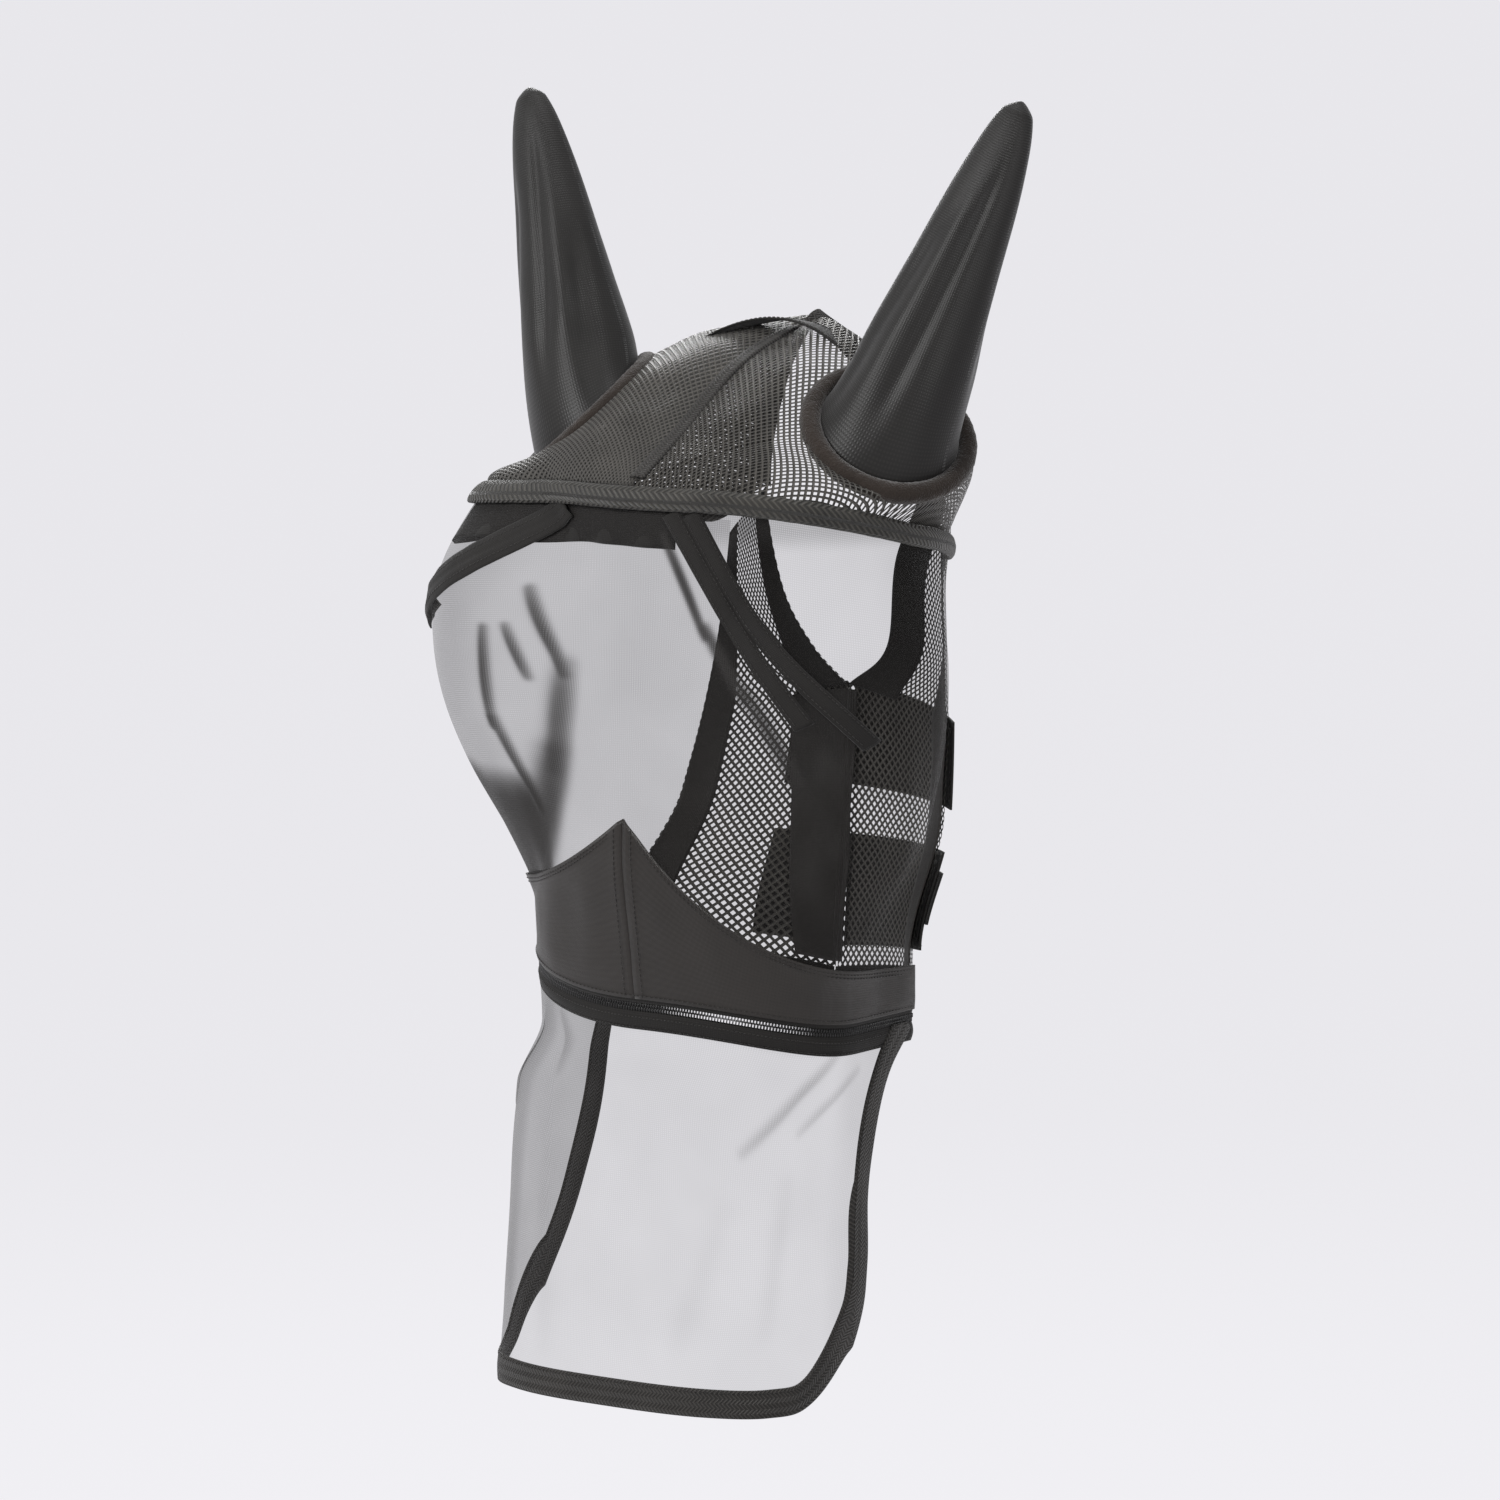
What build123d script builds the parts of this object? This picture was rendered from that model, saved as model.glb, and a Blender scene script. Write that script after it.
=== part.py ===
from build123d import *
import math
import os

os.makedirs("parts", exist_ok=True)

# Horse fly mask with ear sleeves and a nose piece that zips off. Millimetres, +Z up.
# The face looks along -Y and the horse's left side is +X. The origin is on the poll, at the
# top of the neck opening, where the crown of the mask sits on the horse's head.

# ---------------------------------------------------------------- driving dimensions
FIT = 0.08  # how closely a surface follows its points
LOOSE_FIT = 0.3  # the same, for cloth with tight curves in it
CORNER = 0.72  # share of a side, from the centre line, that bends round the front
AXIS_Y = -85.0  # the head's vertical axis, from which cloth thickness is measured
# z, half width, front y, y of the widest point, squareness, rear seam x, rear seam y
STATIONS = [
    (-92, 126, -181, -78, 2.1, 76, 32),
    (-190, 118, -187, -75, 2.15, 84, 28),
    (-300, 112, -188, -82, 2.3, 98, 8),
    (-376, 109, -177, -98, 2.35, 109, -40),
    (-426, 109, -170, -98, 2.35, 109, -40),
    (-458, 112, -190, -104, 2.6, 108, -44),
    (-545, 113, -197, -108, 2.9, 106, -46),
    (-650, 115, -203, -112, 3.0, 106, -48),
]
SWAY = [(-92, 0), (-300, -3), (-400, -5), (-650, -7)]  # how far the mask hangs to its right
# eye bulges, horse's left then right: place along the side, z of the tip, height,
# reach up, reach down, reach across, roundness
EYE_BULGES = {1: (0.66, -235, 34, 130, 165, 0.50, 1.6), -1: (0.60, -183, 76, 130, 175, 0.46, 1.5)}

BROW_CENTRE_Z = -96.0
BROW_FALL = {1: 58.0, -1: 40.0}  # the brow sits lower on the left
CENTRE_SEAM = [(0, 8, 0), (0, -72, -24), (0, -132, -60), (0, -181, -88)]
NECK_EDGE = {
    1: [(0, 8, 0), (38, 32, -36), (56, 46, -92), (34, 47, -150), (28, 46, -205), (0, 45, -230)],
    -1: [(0, 8, 0), (44, 38, -42), (66, 50, -104), (54, 50, -170), (28, 47, -208), (0, 45, -230)],
}
NECK_CROWN_END = 0.42  # share of the neck edge that belongs to the crown
THROAT_BOTTOM = (0, 30, -424)
THROAT_GAP = 1.0
JOWL_TOP_Z = -139.0
JOWL_HEIGHT = 262.0
CHEEK_BAND_SHARE = 0.22  # of the way from the seam to the rear edge of a jowl panel
FLAP_TOP, FLAP_NARROWS = {1: 0.08, -1: 0.42}, {1: 0.0, -1: 0.22}

EAR_CENTRE = (110, -75, -60)
EAR_NORMAL = (0.557, -0.39, 0.73)
EAR_RIM_RADIUS = 48.0
EAR_RIM_THICK = 5.5
EAR_TIP = (182, -41, 138)
EAR_WALL = 1.2
# share of the way to the tip, half width, half depth
EAR_SECTIONS = [
    (-0.03, 32, 25),
    (0.15, 35, 27),
    (0.4, 31, 26),
    (0.65, 25, 19),
    (0.85, 17, 12.5),
    (1.0, 8, 6),
]

ROLL_HALF_HEIGHT = 7.0
ROLL_HALF_THICK = 4.5
ROLL_OFFSET = 3.0
MESH = (0.0, 0.8)
AIR_MESH = (0.0, 2.2)
OUTER_TAPE = (1.1, 2.1)
INNER_TAPE = (-1.4, -0.3)
NOSEBAND = (1.1, 2.5)
FACING_HEIGHT = 26.0

ZIP_CENTRE_Z = -404.0
ZIP_RISE = {1: -14.0, -1: 20.0}  # the zip sits lower on the left and higher on the right
TEETH_NEAR, TEETH_FAR = 0.8, 3.0
TEETH = (-1.1, 1.1)
ZIP_TAPE_FAR = 14.0
ZIP_TAPE = (-0.4, 0.4)
NOSEBAND_PEAK_Z = -288.0
# drop from the peak to the rear, and how quickly it falls
NOSEBAND_FALL = {1: (100.0, 0.26), -1: (52.0, 0.20)}

SIDE_LENGTH = 232.0  # width of the flat pattern on each side of the centre line
HEM_Z = -643.0
BINDING_WIDTH = 17.0
BINDING = (-0.6, 1.5)
BINDING_GAP = 1.5  # from the zip's line down to the left end of the binding
# rear edge of the nose piece on each side, from the zip round to the hem: flat x, z
NOSE_REAR = {
    1: [(228, -424), (206, -446), (190, -482), (183, -520), (183, -560), (178, -590), (158, -622),
        (132, -640), (100, -643), (50, -643), (0, -643)],
    -1: [(228, -392), (226, -430), (220, -480), (204, -530), (184, -572), (158, -612), (140, -634),
         (112, -643), (56, -643), (0, -643)],
}

STRAP_BANDS = {"upper": (-246, -298), "lower": (-322, -377)}
LOOP_PAD = (2.5, 3.3)
HOOK_PATCH = (3.7, 4.5)
STRAP = (4.8, 6.0)
STRAP_END = 1.02
GRIP_TAB = (6.3, 8.0)

SLIDER_LENGTH = 11.0
SLIDER_HALF_HEIGHT = 4.2
SLIDER_PLATE = 1.1
SLIDER_CLEARANCE = 0.35
LUG_LENGTH = 4.0
BAIL_OUT = 3.4  # from the slider's outer plate to the bar its puller hangs on
PULLER_LENGTH = 24.0


# ---------------------------------------------------------------- curves and surfaces
def ramp(f):
    f = min(max(f, 0.0), 1.0)
    return f * f * (3 - 2 * f)


def monotone(table, depth):
    """Interpolates rows keyed by falling z, without overshoot."""
    rows = [(-row[0], *row[1:]) for row in table]
    depth = min(max(depth, rows[0][0]), rows[-1][0])
    i = max(k for k in range(len(rows) - 1) if rows[k][0] <= depth)
    span = rows[i + 1][0] - rows[i][0]
    f = (depth - rows[i][0]) / span

    def slope(k, column):
        if k == 0 or k == len(rows) - 1:
            j = min(k, len(rows) - 2)
            return (rows[j + 1][column] - rows[j][column]) / (rows[j + 1][0] - rows[j][0])
        before = (rows[k][column] - rows[k - 1][column]) / (rows[k][0] - rows[k - 1][0])
        after = (rows[k + 1][column] - rows[k][column]) / (rows[k + 1][0] - rows[k][0])
        return 2 * before * after / (before + after) if before * after > 0 else 0.0

    values = []
    for column in range(1, len(rows[0])):
        a, b = rows[i][column], rows[i + 1][column]
        da, db = slope(i, column) * span, slope(i + 1, column) * span
        values.append(
            (2 * f**3 - 3 * f**2 + 1) * a
            + (f**3 - 2 * f**2 + f) * da
            + (3 * f**2 - 2 * f**3) * b
            + (f**3 - f**2) * db
        )
    return values


def along(points, f):
    """A point a share f of the way along a smooth curve through points."""
    f = min(max(f, 0.0), 1.0) * (len(points) - 1)
    i = min(int(f), len(points) - 2)
    t = f - i
    p1, p2 = Vector(*points[i]), Vector(*points[i + 1])
    p0 = Vector(*points[i - 1]) if i else p1 * 2 - p2
    p3 = Vector(*points[i + 2]) if i + 2 < len(points) else p2 * 2 - p1
    return (
        p1 * 2
        + (p2 - p0) * t
        + (p0 * 2 - p1 * 5 + p2 * 4 - p3) * t * t
        + (p1 * 3 - p0 - p2 * 3 + p3) * t**3
    ) * 0.5


def bulge(side, s, z):
    s0, z0, height, up, down, across, power = EYE_BULGES[side]
    reach = math.hypot((z - z0) / (up if z > z0 else down), (s - s0) / across)
    fade = ramp((1 - s) / 0.3)
    return height * fade * max(0.0, 1 - reach * reach) ** power


def skin_point(w, z, offset=0.0):
    """A point on the face or nose cloth: w from -1, right rear seam, to 1, left rear seam."""
    side, s = (1 if w >= 0 else -1), abs(w)
    half, front, widest, squareness, seam_x, seam_y = monotone(STATIONS, -z)
    if s < CORNER:
        turn = s / CORNER * math.pi / 2
        x = half * math.sin(turn) ** (2 / squareness)
        y = widest - (widest - front) * math.cos(turn) ** (2 / squareness)
    else:
        f = (s - CORNER) / (1 - CORNER)
        x = half - (half - seam_x) * f * f
        y = widest + (seam_y - widest) * f
    out = Vector(x, y - AXIS_Y, 0).normalized() * (bulge(side, s, z) + offset)
    return Vector(side * (x + out.X) + monotone(SWAY, -z)[0], y + out.Y, z)


def brow_z(w):
    fall = BROW_FALL[1 if w >= 0 else -1]
    return BROW_CENTRE_Z - fall * max(0.0, abs(w) - 0.15) ** 1.6


def zip_z(w):
    return ZIP_CENTRE_Z + ZIP_RISE[1 if w >= 0 else -1] * ramp(abs(w) / CORNER)


def noseband_top(w):
    drop, rate = NOSEBAND_FALL[1 if w >= 0 else -1]
    return NOSEBAND_PEAK_Z - drop * (1 - math.exp(-abs(w) / rate))


def neck_point(side, f):
    p = along(NECK_EDGE[side], f)
    return Vector(side * p.X, p.Y, p.Z)


def jowl_point(side, u, v, offset=0.0):
    """A point on a jowl panel: u from the seam with the face to the rear edge, v downwards."""
    front = skin_point(side, JOWL_TOP_Z - JOWL_HEIGHT * v)
    split = 0.42
    if v < split:
        f = NECK_CROWN_END + (1 - NECK_CROWN_END) * v / split
        rear = neck_point(side, f)
    else:
        rear = Vector(*NECK_EDGE[1][-1]) * (1 - (v - split) / (1 - split))
        rear += Vector(*THROAT_BOTTOM) * ((v - split) / (1 - split))
    rear += Vector(side * THROAT_GAP / 2, 0, 0)
    p = front * (1 - u) + rear * u
    out = Vector(p.X, p.Y - AXIS_Y, 0).normalized()
    return p + out * (offset + 10 * 4 * u * (1 - u))


def ear_frame(side):
    normal = Vector(side * EAR_NORMAL[0], EAR_NORMAL[1], EAR_NORMAL[2]).normalized()
    level = normal.cross(Vector(0, 0, 1)).normalized()
    return Vector(side * EAR_CENTRE[0], EAR_CENTRE[1], EAR_CENTRE[2]), normal, level


def rim_point(side, target, radius):
    """The point of the ear rim, at a radius, that faces a target point."""
    centre, normal, _ = ear_frame(side)
    away = target - centre
    away -= normal * away.dot(normal)
    return centre + away.normalized() * radius


def crown_edge(side, f):
    """The outer edge of one half of the crown: seam, brow, short side, then neck edge."""
    gap = Vector(side * 1.5, 0, 0)
    if f < 0.3:
        return along(CENTRE_SEAM, 0.5 + f / 0.6) + gap
    if f < 0.6:
        s = (f - 0.3) / 0.3
        return skin_point(side * s, brow_z(side * s) + ROLL_HALF_HEIGHT + 0.6) + gap * (1 - s)
    if f < 0.68:
        k = (f - 0.6) / 0.08
        low = skin_point(side, brow_z(side) + ROLL_HALF_HEIGHT + 0.6)
        return low * (1 - k) + neck_point(side, NECK_CROWN_END) * k
    if f < 0.85:
        return neck_point(side, NECK_CROWN_END * (0.85 - f) / 0.17) + gap
    return along(CENTRE_SEAM, (f - 0.85) / 0.3) + gap


def crown_point(side, f, r, offset=0.0):
    """A point on the crown: f round its outer edge, r from the ear rim, 0, to that edge, 1."""
    edge = crown_edge(side, f % 1.0)
    rim = rim_point(side, edge, EAR_RIM_RADIUS + EAR_RIM_THICK + 0.6)
    p = rim * (1 - r) + edge * r
    out = (p - Vector(0, AXIS_Y, -170)).normalized()
    return p + out * (offset + 7 * 4 * r * (1 - r))


def steps(low, high, count):
    return [low + (high - low) * i / count for i in range(count + 1)]


def sheet(place, us, vs, low, high, ring=False, fit=FIT):
    """A thin solid between place(u, v, low) and place(u, v, high)."""
    faces = []
    for offset in (low, high):
        rows = [[place(u, v, offset) for v in vs] for u in us]
        faces.append(Face.make_surface_from_array_of_points(rows, tol=fit, min_deg=3, max_deg=3))
    for a, b in zip(faces[0].edges(), faces[1].edges()):
        if not ring or a.is_closed:
            faces.append(Face.make_surface_from_curves(a, b))
    solid = Solid(Shell(faces))
    return solid if solid.volume > 0 else sheet(place, us[::-1], vs, low, high, ring, fit)


def save(name, shape):
    export_step(shape, f"parts/{name}.step")


# ---------------------------------------------------------------- face, brow and noseband
def between(top, bottom):
    """A placing function for cloth between two edges given as functions of w."""
    return lambda w, v, offset: skin_point(w, top(w) * (1 - v) + bottom(w) * v, offset)


def brow_under(w):
    return brow_z(w) - ROLL_HALF_HEIGHT - 0.4


def face_bottom(w):
    """The lower edge of the face mesh, tucked behind the noseband's top edge."""
    drop, rate = NOSEBAND_FALL[1 if w >= 0 else -1]
    return NOSEBAND_PEAK_Z - 6 - drop * (1 - math.exp(-math.hypot(w, 0.05) / rate))


def roll_point(w, v, side):
    half = ROLL_HALF_THICK * math.sqrt(max(1 - v * v, 0.02))
    return skin_point(w, brow_z(w) + ROLL_HALF_HEIGHT * v, ROLL_OFFSET + side * half)


def make_face():
    across = steps(-1, 1, 48)
    mesh = between(brow_under, face_bottom)
    save("face_mesh", sheet(mesh, across, steps(0, 1, 24), *MESH, fit=LOOSE_FIT))
    save("brow_roll", sheet(roll_point, across, steps(-1, 1, 8), -1, 1))
    facing = between(brow_under, lambda w: brow_under(w) - FACING_HEIGHT)
    save("brow_facing", sheet(facing, steps(-0.72, 0.1, 20), steps(0, 1, 4), *INNER_TAPE))
    for name, start, end in (("noseband_right", -1, -0.004), ("noseband_left", 0.004, 1)):
        band = between(noseband_top, lambda w: zip_z(w) + 5)
        save(name, sheet(band, steps(start, end, 30), steps(0, 1, 8), *NOSEBAND))


def tape_point(ends, width):
    """A straight tape on the cloth between two (w, z) ends, width in millimetres."""
    (w0, z0), (w1, z1) = ends
    run = Vector((w1 - w0) * SIDE_LENGTH, z1 - z0, 0).normalized()

    def place(u, v, offset):
        w = w0 + (w1 - w0) * u - run.Y * v * width / SIDE_LENGTH
        return skin_point(w, z0 + (z1 - z0) * u + run.X * v * width, offset)

    return place


def make_eye_darts():
    darts = {
        "eye_dart_right_tape": ((-0.20, -108), (-0.58, -184), 17),
        "eye_dart_left_inner_tape": ((0.088, -108), (0.41, -228), 10),
        "eye_dart_left_outer_tape": ((0.140, -108), (0.53, -238), 10),
    }
    for name, (start, end, width) in darts.items():
        place = tape_point((start, end), width)
        save(name, sheet(place, steps(0, 1, 16), steps(-0.5, 0.5, 3), *OUTER_TAPE))


# ---------------------------------------------------------------- crown and ears
def make_crown():
    for side, word in ((1, "left"), (-1, "right")):
        centre, normal, level = ear_frame(side)

        def place(f, r, offset, side=side):
            return crown_point(side, f, r, offset)

        mesh = sheet(place, steps(0, 1, 60), steps(0, 1, 6), *AIR_MESH, ring=True, fit=LOOSE_FIT)
        save(f"crown_mesh_{word}", mesh)
        rim = Plane(origin=centre, x_dir=level, z_dir=normal)
        save(f"ear_rim_{word}", Solid.make_torus(EAR_RIM_RADIUS, EAR_RIM_THICK, rim))
        save(f"ear_sleeve_{word}", ear_sleeve(side))


def ear_sleeve(side):
    centre, _, _ = ear_frame(side)
    tip = Vector(side * EAR_TIP[0], EAR_TIP[1], EAR_TIP[2])
    lift = (tip - centre).normalized()
    across = Vector(0, 1, 0).cross(lift).normalized()

    def body(wall):
        sections = []
        for share, width, depth in EAR_SECTIONS:
            height = share if share < 1 or wall == 0 else 0.985
            if share < 0 and wall:
                height = share - 0.01
            at = centre + (tip - centre) * height
            plane = Plane(origin=at, x_dir=across, z_dir=lift)
            sections.append(plane * Ellipse(width - wall, depth - wall))
        return loft(sections)

    return body(0) - body(EAR_WALL)


def make_crown_trim():
    def seam(u, v, offset):
        p = along(CENTRE_SEAM, u)
        return p + Vector(v * 9, 0, 0) + Vector(0, -0.35, 0.94) * offset

    save("crown_seam_tape", sheet(seam, steps(0.12, 0.97, 16), steps(-1, 1, 3), 2.9, 3.9))

    def poll_edge(w, v, offset):
        side = 1 if w >= 0 else -1
        edge = neck_point(side, NECK_CROWN_END * abs(w))
        inner = rim_point(side, edge, EAR_RIM_RADIUS)
        step = (inner - edge).normalized()
        level = Vector(0, -1, -0.3).normalized()
        step = (level * (1 - abs(w)) + step * abs(w)).normalized()
        out = (edge - Vector(0, AXIS_Y, -170)).normalized()
        return edge + step * v * 15 + out * offset

    save("poll_edge_binding", sheet(poll_edge, steps(-1, 1, 32), steps(-0.2, 0.9, 4), 5.2, 6.8))

    def poll_tape(w, v, offset):
        x = 62 * w
        y = -26 - 10 * w * w + v * 10
        z = -8 - 22 * w * w - 0.1 * v * 10
        return Vector(x, y, z + offset)

    save("poll_tape", sheet(poll_tape, steps(-1, 1, 16), steps(-1, 1, 3), 9.0, 10.2))


# ---------------------------------------------------------------- jowl panels and closure
def make_jowls():
    for side, word in ((1, "left"), (-1, "right")):
        def panel(u, v, offset, side=side):
            return jowl_point(side, u, v, offset)

        mesh = sheet(panel, steps(0.02, 1, 14), steps(0, 1, 36), *AIR_MESH)
        save(f"jowl_mesh_{word}", mesh - slider_room() if side < 0 else mesh)
        band = sheet(panel, steps(0.01, CHEEK_BAND_SHARE, 4), steps(0.01, 0.86, 24), *INNER_TAPE)
        save(f"cheek_band_{word}", band)
        facing_u = {1: 0.62, -1: 0.66}[side]
        save(f"neck_facing_{word}", sheet(panel, steps(facing_u, 1, 6), steps(0.01, 0.4, 16), *INNER_TAPE))
        save(f"jowl_hem_{word}", sheet(panel, steps(0.04, 1, 12), steps(0.95, 1, 3), *INNER_TAPE))

    def flap(w, v, offset):
        side = 1 if w >= 0 else -1
        u = 1 - abs(w) * (FLAP_TOP[side] - FLAP_NARROWS[side] * v)
        p = jowl_point(side, u, 0.425 + 0.51 * v, offset)
        return Vector(p.X - side * THROAT_GAP / 2 * u, p.Y, p.Z)

    save("throat_flap", sheet(flap, steps(-1, 1, 24), steps(0, 1, 12), *INNER_TAPE))


def jowl_share(z):
    """How far down a jowl panel a height lies."""
    return (JOWL_TOP_Z - z) / JOWL_HEIGHT


def make_closure():
    for level, (top, bottom) in STRAP_BANDS.items():
        low, high = jowl_share(top), jowl_share(bottom)

        def left(u, v, offset, low=low, high=high):
            return jowl_point(1, u, low + (high - low) * v, offset)

        def right(u, v, offset, low=low, high=high):
            return jowl_point(-1, u, low + (high - low) * v, offset)

        pad = steps(0.1, 0.9, 6)
        save(f"loop_pad_{level}", sheet(left, steps(0.20, 0.66, 8), pad, *LOOP_PAD))
        save(f"hook_patch_{level}", sheet(left, steps(0.06, 0.60, 8), pad, *HOOK_PATCH))
        save(f"closure_strap_{level}", sheet(left, steps(STRAP_END - 1, 0.985, 16), steps(0, 1, 6), *STRAP))
        save(f"strap_base_{level}", sheet(right, steps(0.60, 0.99, 8), steps(0, 1, 6), LOOP_PAD[0], 3.9))
    low = jowl_share(STRAP_BANDS["lower"][0])
    high = jowl_share(STRAP_BANDS["lower"][1])

    def tab(u, v, offset):
        return jowl_point(1, u, low + (high - low) * v, offset)

    save("strap_grip_tab", sheet(tab, steps(-0.04, 0.10, 4), steps(0.2, 0.72, 5), *GRIP_TAB))


# ---------------------------------------------------------------- zip
def make_zip():
    across = steps(-1, 1, 60)
    for word, sign in (("upper", 1), ("lower", -1)):
        def teeth(w, v, offset, sign=sign):
            return skin_point(w, zip_z(w) + sign * (TEETH_NEAR + (TEETH_FAR - TEETH_NEAR) * v), offset)

        def tape(w, v, offset, sign=sign):
            return skin_point(w, zip_z(w) + sign * (TEETH_FAR + 0.3 + (ZIP_TAPE_FAR - TEETH_FAR) * v), offset)

        save(f"zip_teeth_{word}", sheet(teeth, across, steps(0, 1, 3), *TEETH))
        save(f"zip_tape_{word}", sheet(tape, across, steps(0, 1, 3), *ZIP_TAPE))


def slider_room():
    """The space kept clear round the parked slider."""
    end = skin_point(-1, zip_z(-1))
    return Pos(end.X, end.Y + 1.5, end.Z) * Box(18, SLIDER_LENGTH + 4, 2 * SLIDER_HALF_HEIGHT + 3)


def make_slider():
    """The slider is parked at the rear end of the zip on the horse's right side."""
    end = skin_point(-1, zip_z(-1))
    half_gap = TEETH[1] + SLIDER_CLEARANCE
    plate_x = half_gap + SLIDER_PLATE / 2
    height = 2 * SLIDER_HALF_HEIGHT
    middle = end.Y + 1.5
    plates = [
        Pos(end.X + sign * plate_x, middle, end.Z) * Box(SLIDER_PLATE, SLIDER_LENGTH, height)
        for sign in (-1, 1)
    ]
    post = Pos(end.X, middle + SLIDER_LENGTH / 2 - 1.2, end.Z) * Box(2 * plate_x, 2.4, 0.9)
    outside = end.X - half_gap - SLIDER_PLATE
    lugs = [
        Pos(outside - LUG_LENGTH / 2, middle + sign * 2.8, end.Z) * Box(LUG_LENGTH, 1.4, 2.4)
        for sign in (-1, 1)
    ]
    pivot = Pos(outside - BAIL_OUT, middle, end.Z)
    bail = pivot * Box(1.2, 5.6, 1.2)
    save("zip_slider", plates[0] + plates[1] + post + lugs[0] + lugs[1] + bail)
    eye = Box(4.0, 3.0, 4.0) - Box(2.4, 4.0, 2.4)
    neck = Pos(-1.6, 0, -4.0) * Box(0.8, 3.0, 5.0)
    grip = Pos(-1.6, 0, -6.0 - PULLER_LENGTH / 2) * Box(1.2, 5.6, PULLER_LENGTH)
    save("zip_puller", pivot * (eye + neck + grip))


# ---------------------------------------------------------------- nose piece
def nose_edge(w, depth):
    """A point of the nose piece's edge in the flat pattern, pulled in by a depth."""
    side = 1 if w >= 0 else -1
    path = [(x, z, 0) for x, z in NOSE_REAR[side]]
    f = 1 - abs(w)
    p = along(path, f)
    ahead, behind = along(path, min(f + 0.01, 1)), along(path, max(f - 0.01, 0))
    run = (ahead - behind).normalized()
    inward = Vector(run.Y, -run.X, 0)
    p += inward * depth
    return side * max(p.X, 0), p.Y


def nose_reach(side, z, samples):
    """Half width of the nose mesh in the flat pattern at a height, inside the binding."""
    corner = next(k for k in range(len(samples)) if samples[k][1] > samples[0][1] + 0.5)
    if z <= samples[corner][1]:
        return abs(samples[corner][0])
    for (x1, z1), (x0, z0) in zip(samples[corner:], samples[corner + 1:]):
        if z <= z0:
            return abs(x1 + (x0 - x1) * (z - z1) / (z0 - z1))
    return abs(samples[-1][0])


def make_nose_piece():
    floor = HEM_Z + BINDING_WIDTH + 0.6
    inside = {
        side: [nose_edge(side * k / 60, BINDING_WIDTH + 0.4) for k in range(61)]
        for side in (1, -1)
    }

    def mesh(w, v, offset):
        side = 1 if w >= 0 else -1
        z = (zip_z(w) - 8) * (1 - v) + floor * v
        level = (zip_z(side) - 8) * (1 - v) + floor * v
        return skin_point(w * nose_reach(side, level, inside[side]) / SIDE_LENGTH, z, offset)

    save("nose_mesh", sheet(mesh, steps(-1, 1, 48), steps(0, 1, 20), 0.8, 1.6, fit=0.15))

    def binding(w, v, offset):
        x, z = nose_edge(w, BINDING_WIDTH * v)
        return skin_point(x / SIDE_LENGTH, z, offset + 0.7)

    band = sheet(binding, steps(-1, 1, 96), steps(0, 1, 3), *BINDING, fit=0.2)
    above_zip = Pos(100, -100, zip_z(1) - BINDING_GAP + 50) * Box(200, 300, 100)
    save("nose_binding", band - above_zip)


make_face()
make_eye_darts()
make_crown()
make_crown_trim()
make_jowls()
make_closure()
make_zip()
make_slider()
make_nose_piece()
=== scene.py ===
import bpy
import math
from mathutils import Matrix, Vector, noise


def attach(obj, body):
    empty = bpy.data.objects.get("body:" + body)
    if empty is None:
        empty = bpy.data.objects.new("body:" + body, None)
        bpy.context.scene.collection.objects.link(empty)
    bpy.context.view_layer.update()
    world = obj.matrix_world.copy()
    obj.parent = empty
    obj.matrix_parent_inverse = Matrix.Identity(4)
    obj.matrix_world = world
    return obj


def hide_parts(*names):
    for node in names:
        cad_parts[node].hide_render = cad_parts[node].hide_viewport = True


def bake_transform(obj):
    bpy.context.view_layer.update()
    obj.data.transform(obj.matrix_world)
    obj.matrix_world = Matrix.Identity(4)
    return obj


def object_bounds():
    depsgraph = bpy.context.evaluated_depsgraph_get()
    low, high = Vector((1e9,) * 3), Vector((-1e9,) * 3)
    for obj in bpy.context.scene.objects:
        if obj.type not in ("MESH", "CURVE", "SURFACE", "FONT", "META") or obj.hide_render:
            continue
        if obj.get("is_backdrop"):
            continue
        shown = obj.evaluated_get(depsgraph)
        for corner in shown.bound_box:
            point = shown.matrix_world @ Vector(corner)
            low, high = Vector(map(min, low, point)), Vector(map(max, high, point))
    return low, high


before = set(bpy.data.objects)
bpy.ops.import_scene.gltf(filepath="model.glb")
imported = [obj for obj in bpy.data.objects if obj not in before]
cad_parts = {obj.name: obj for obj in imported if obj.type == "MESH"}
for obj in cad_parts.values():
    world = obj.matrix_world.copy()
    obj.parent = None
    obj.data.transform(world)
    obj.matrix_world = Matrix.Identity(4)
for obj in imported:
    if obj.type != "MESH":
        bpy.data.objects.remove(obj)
cad_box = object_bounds()

# A horse fly mask. The shape is worked out in millimetres, by formulas like those of the CAD
# solids, and becomes metres when a mesh is made. w runs from -1, the right rear seam, to 1, the
# left rear seam, and +X is the horse's left. Where the sides differ, 1 is the left and -1 the right.
MM = 0.001
CORNER = 0.72  # how far along a side the face is widest
AXIS_Y = -85.0  # the mask's upright middle line
# level sections: z, half width, y in front, y at the widest place, squareness, x and y of the seam
STATIONS = [
    (-92, 126, -181, -78, 2.1, 76, 32),
    (-190, 118, -187, -75, 2.15, 84, 28),
    (-300, 112, -188, -82, 2.3, 98, 8),
    (-376, 109, -177, -98, 2.35, 109, -40),
    (-426, 109, -170, -98, 2.35, 109, -40),
    (-458, 112, -190, -104, 2.6, 108, -44),
    (-545, 113, -197, -108, 2.9, 106, -46),
    (-650, 115, -203, -112, 3.0, 106, -48),
]
SWAY = [(-92, 0), (-300, -3), (-400, -5), (-650, -7)]  # how far the mask hangs to its right
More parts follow.
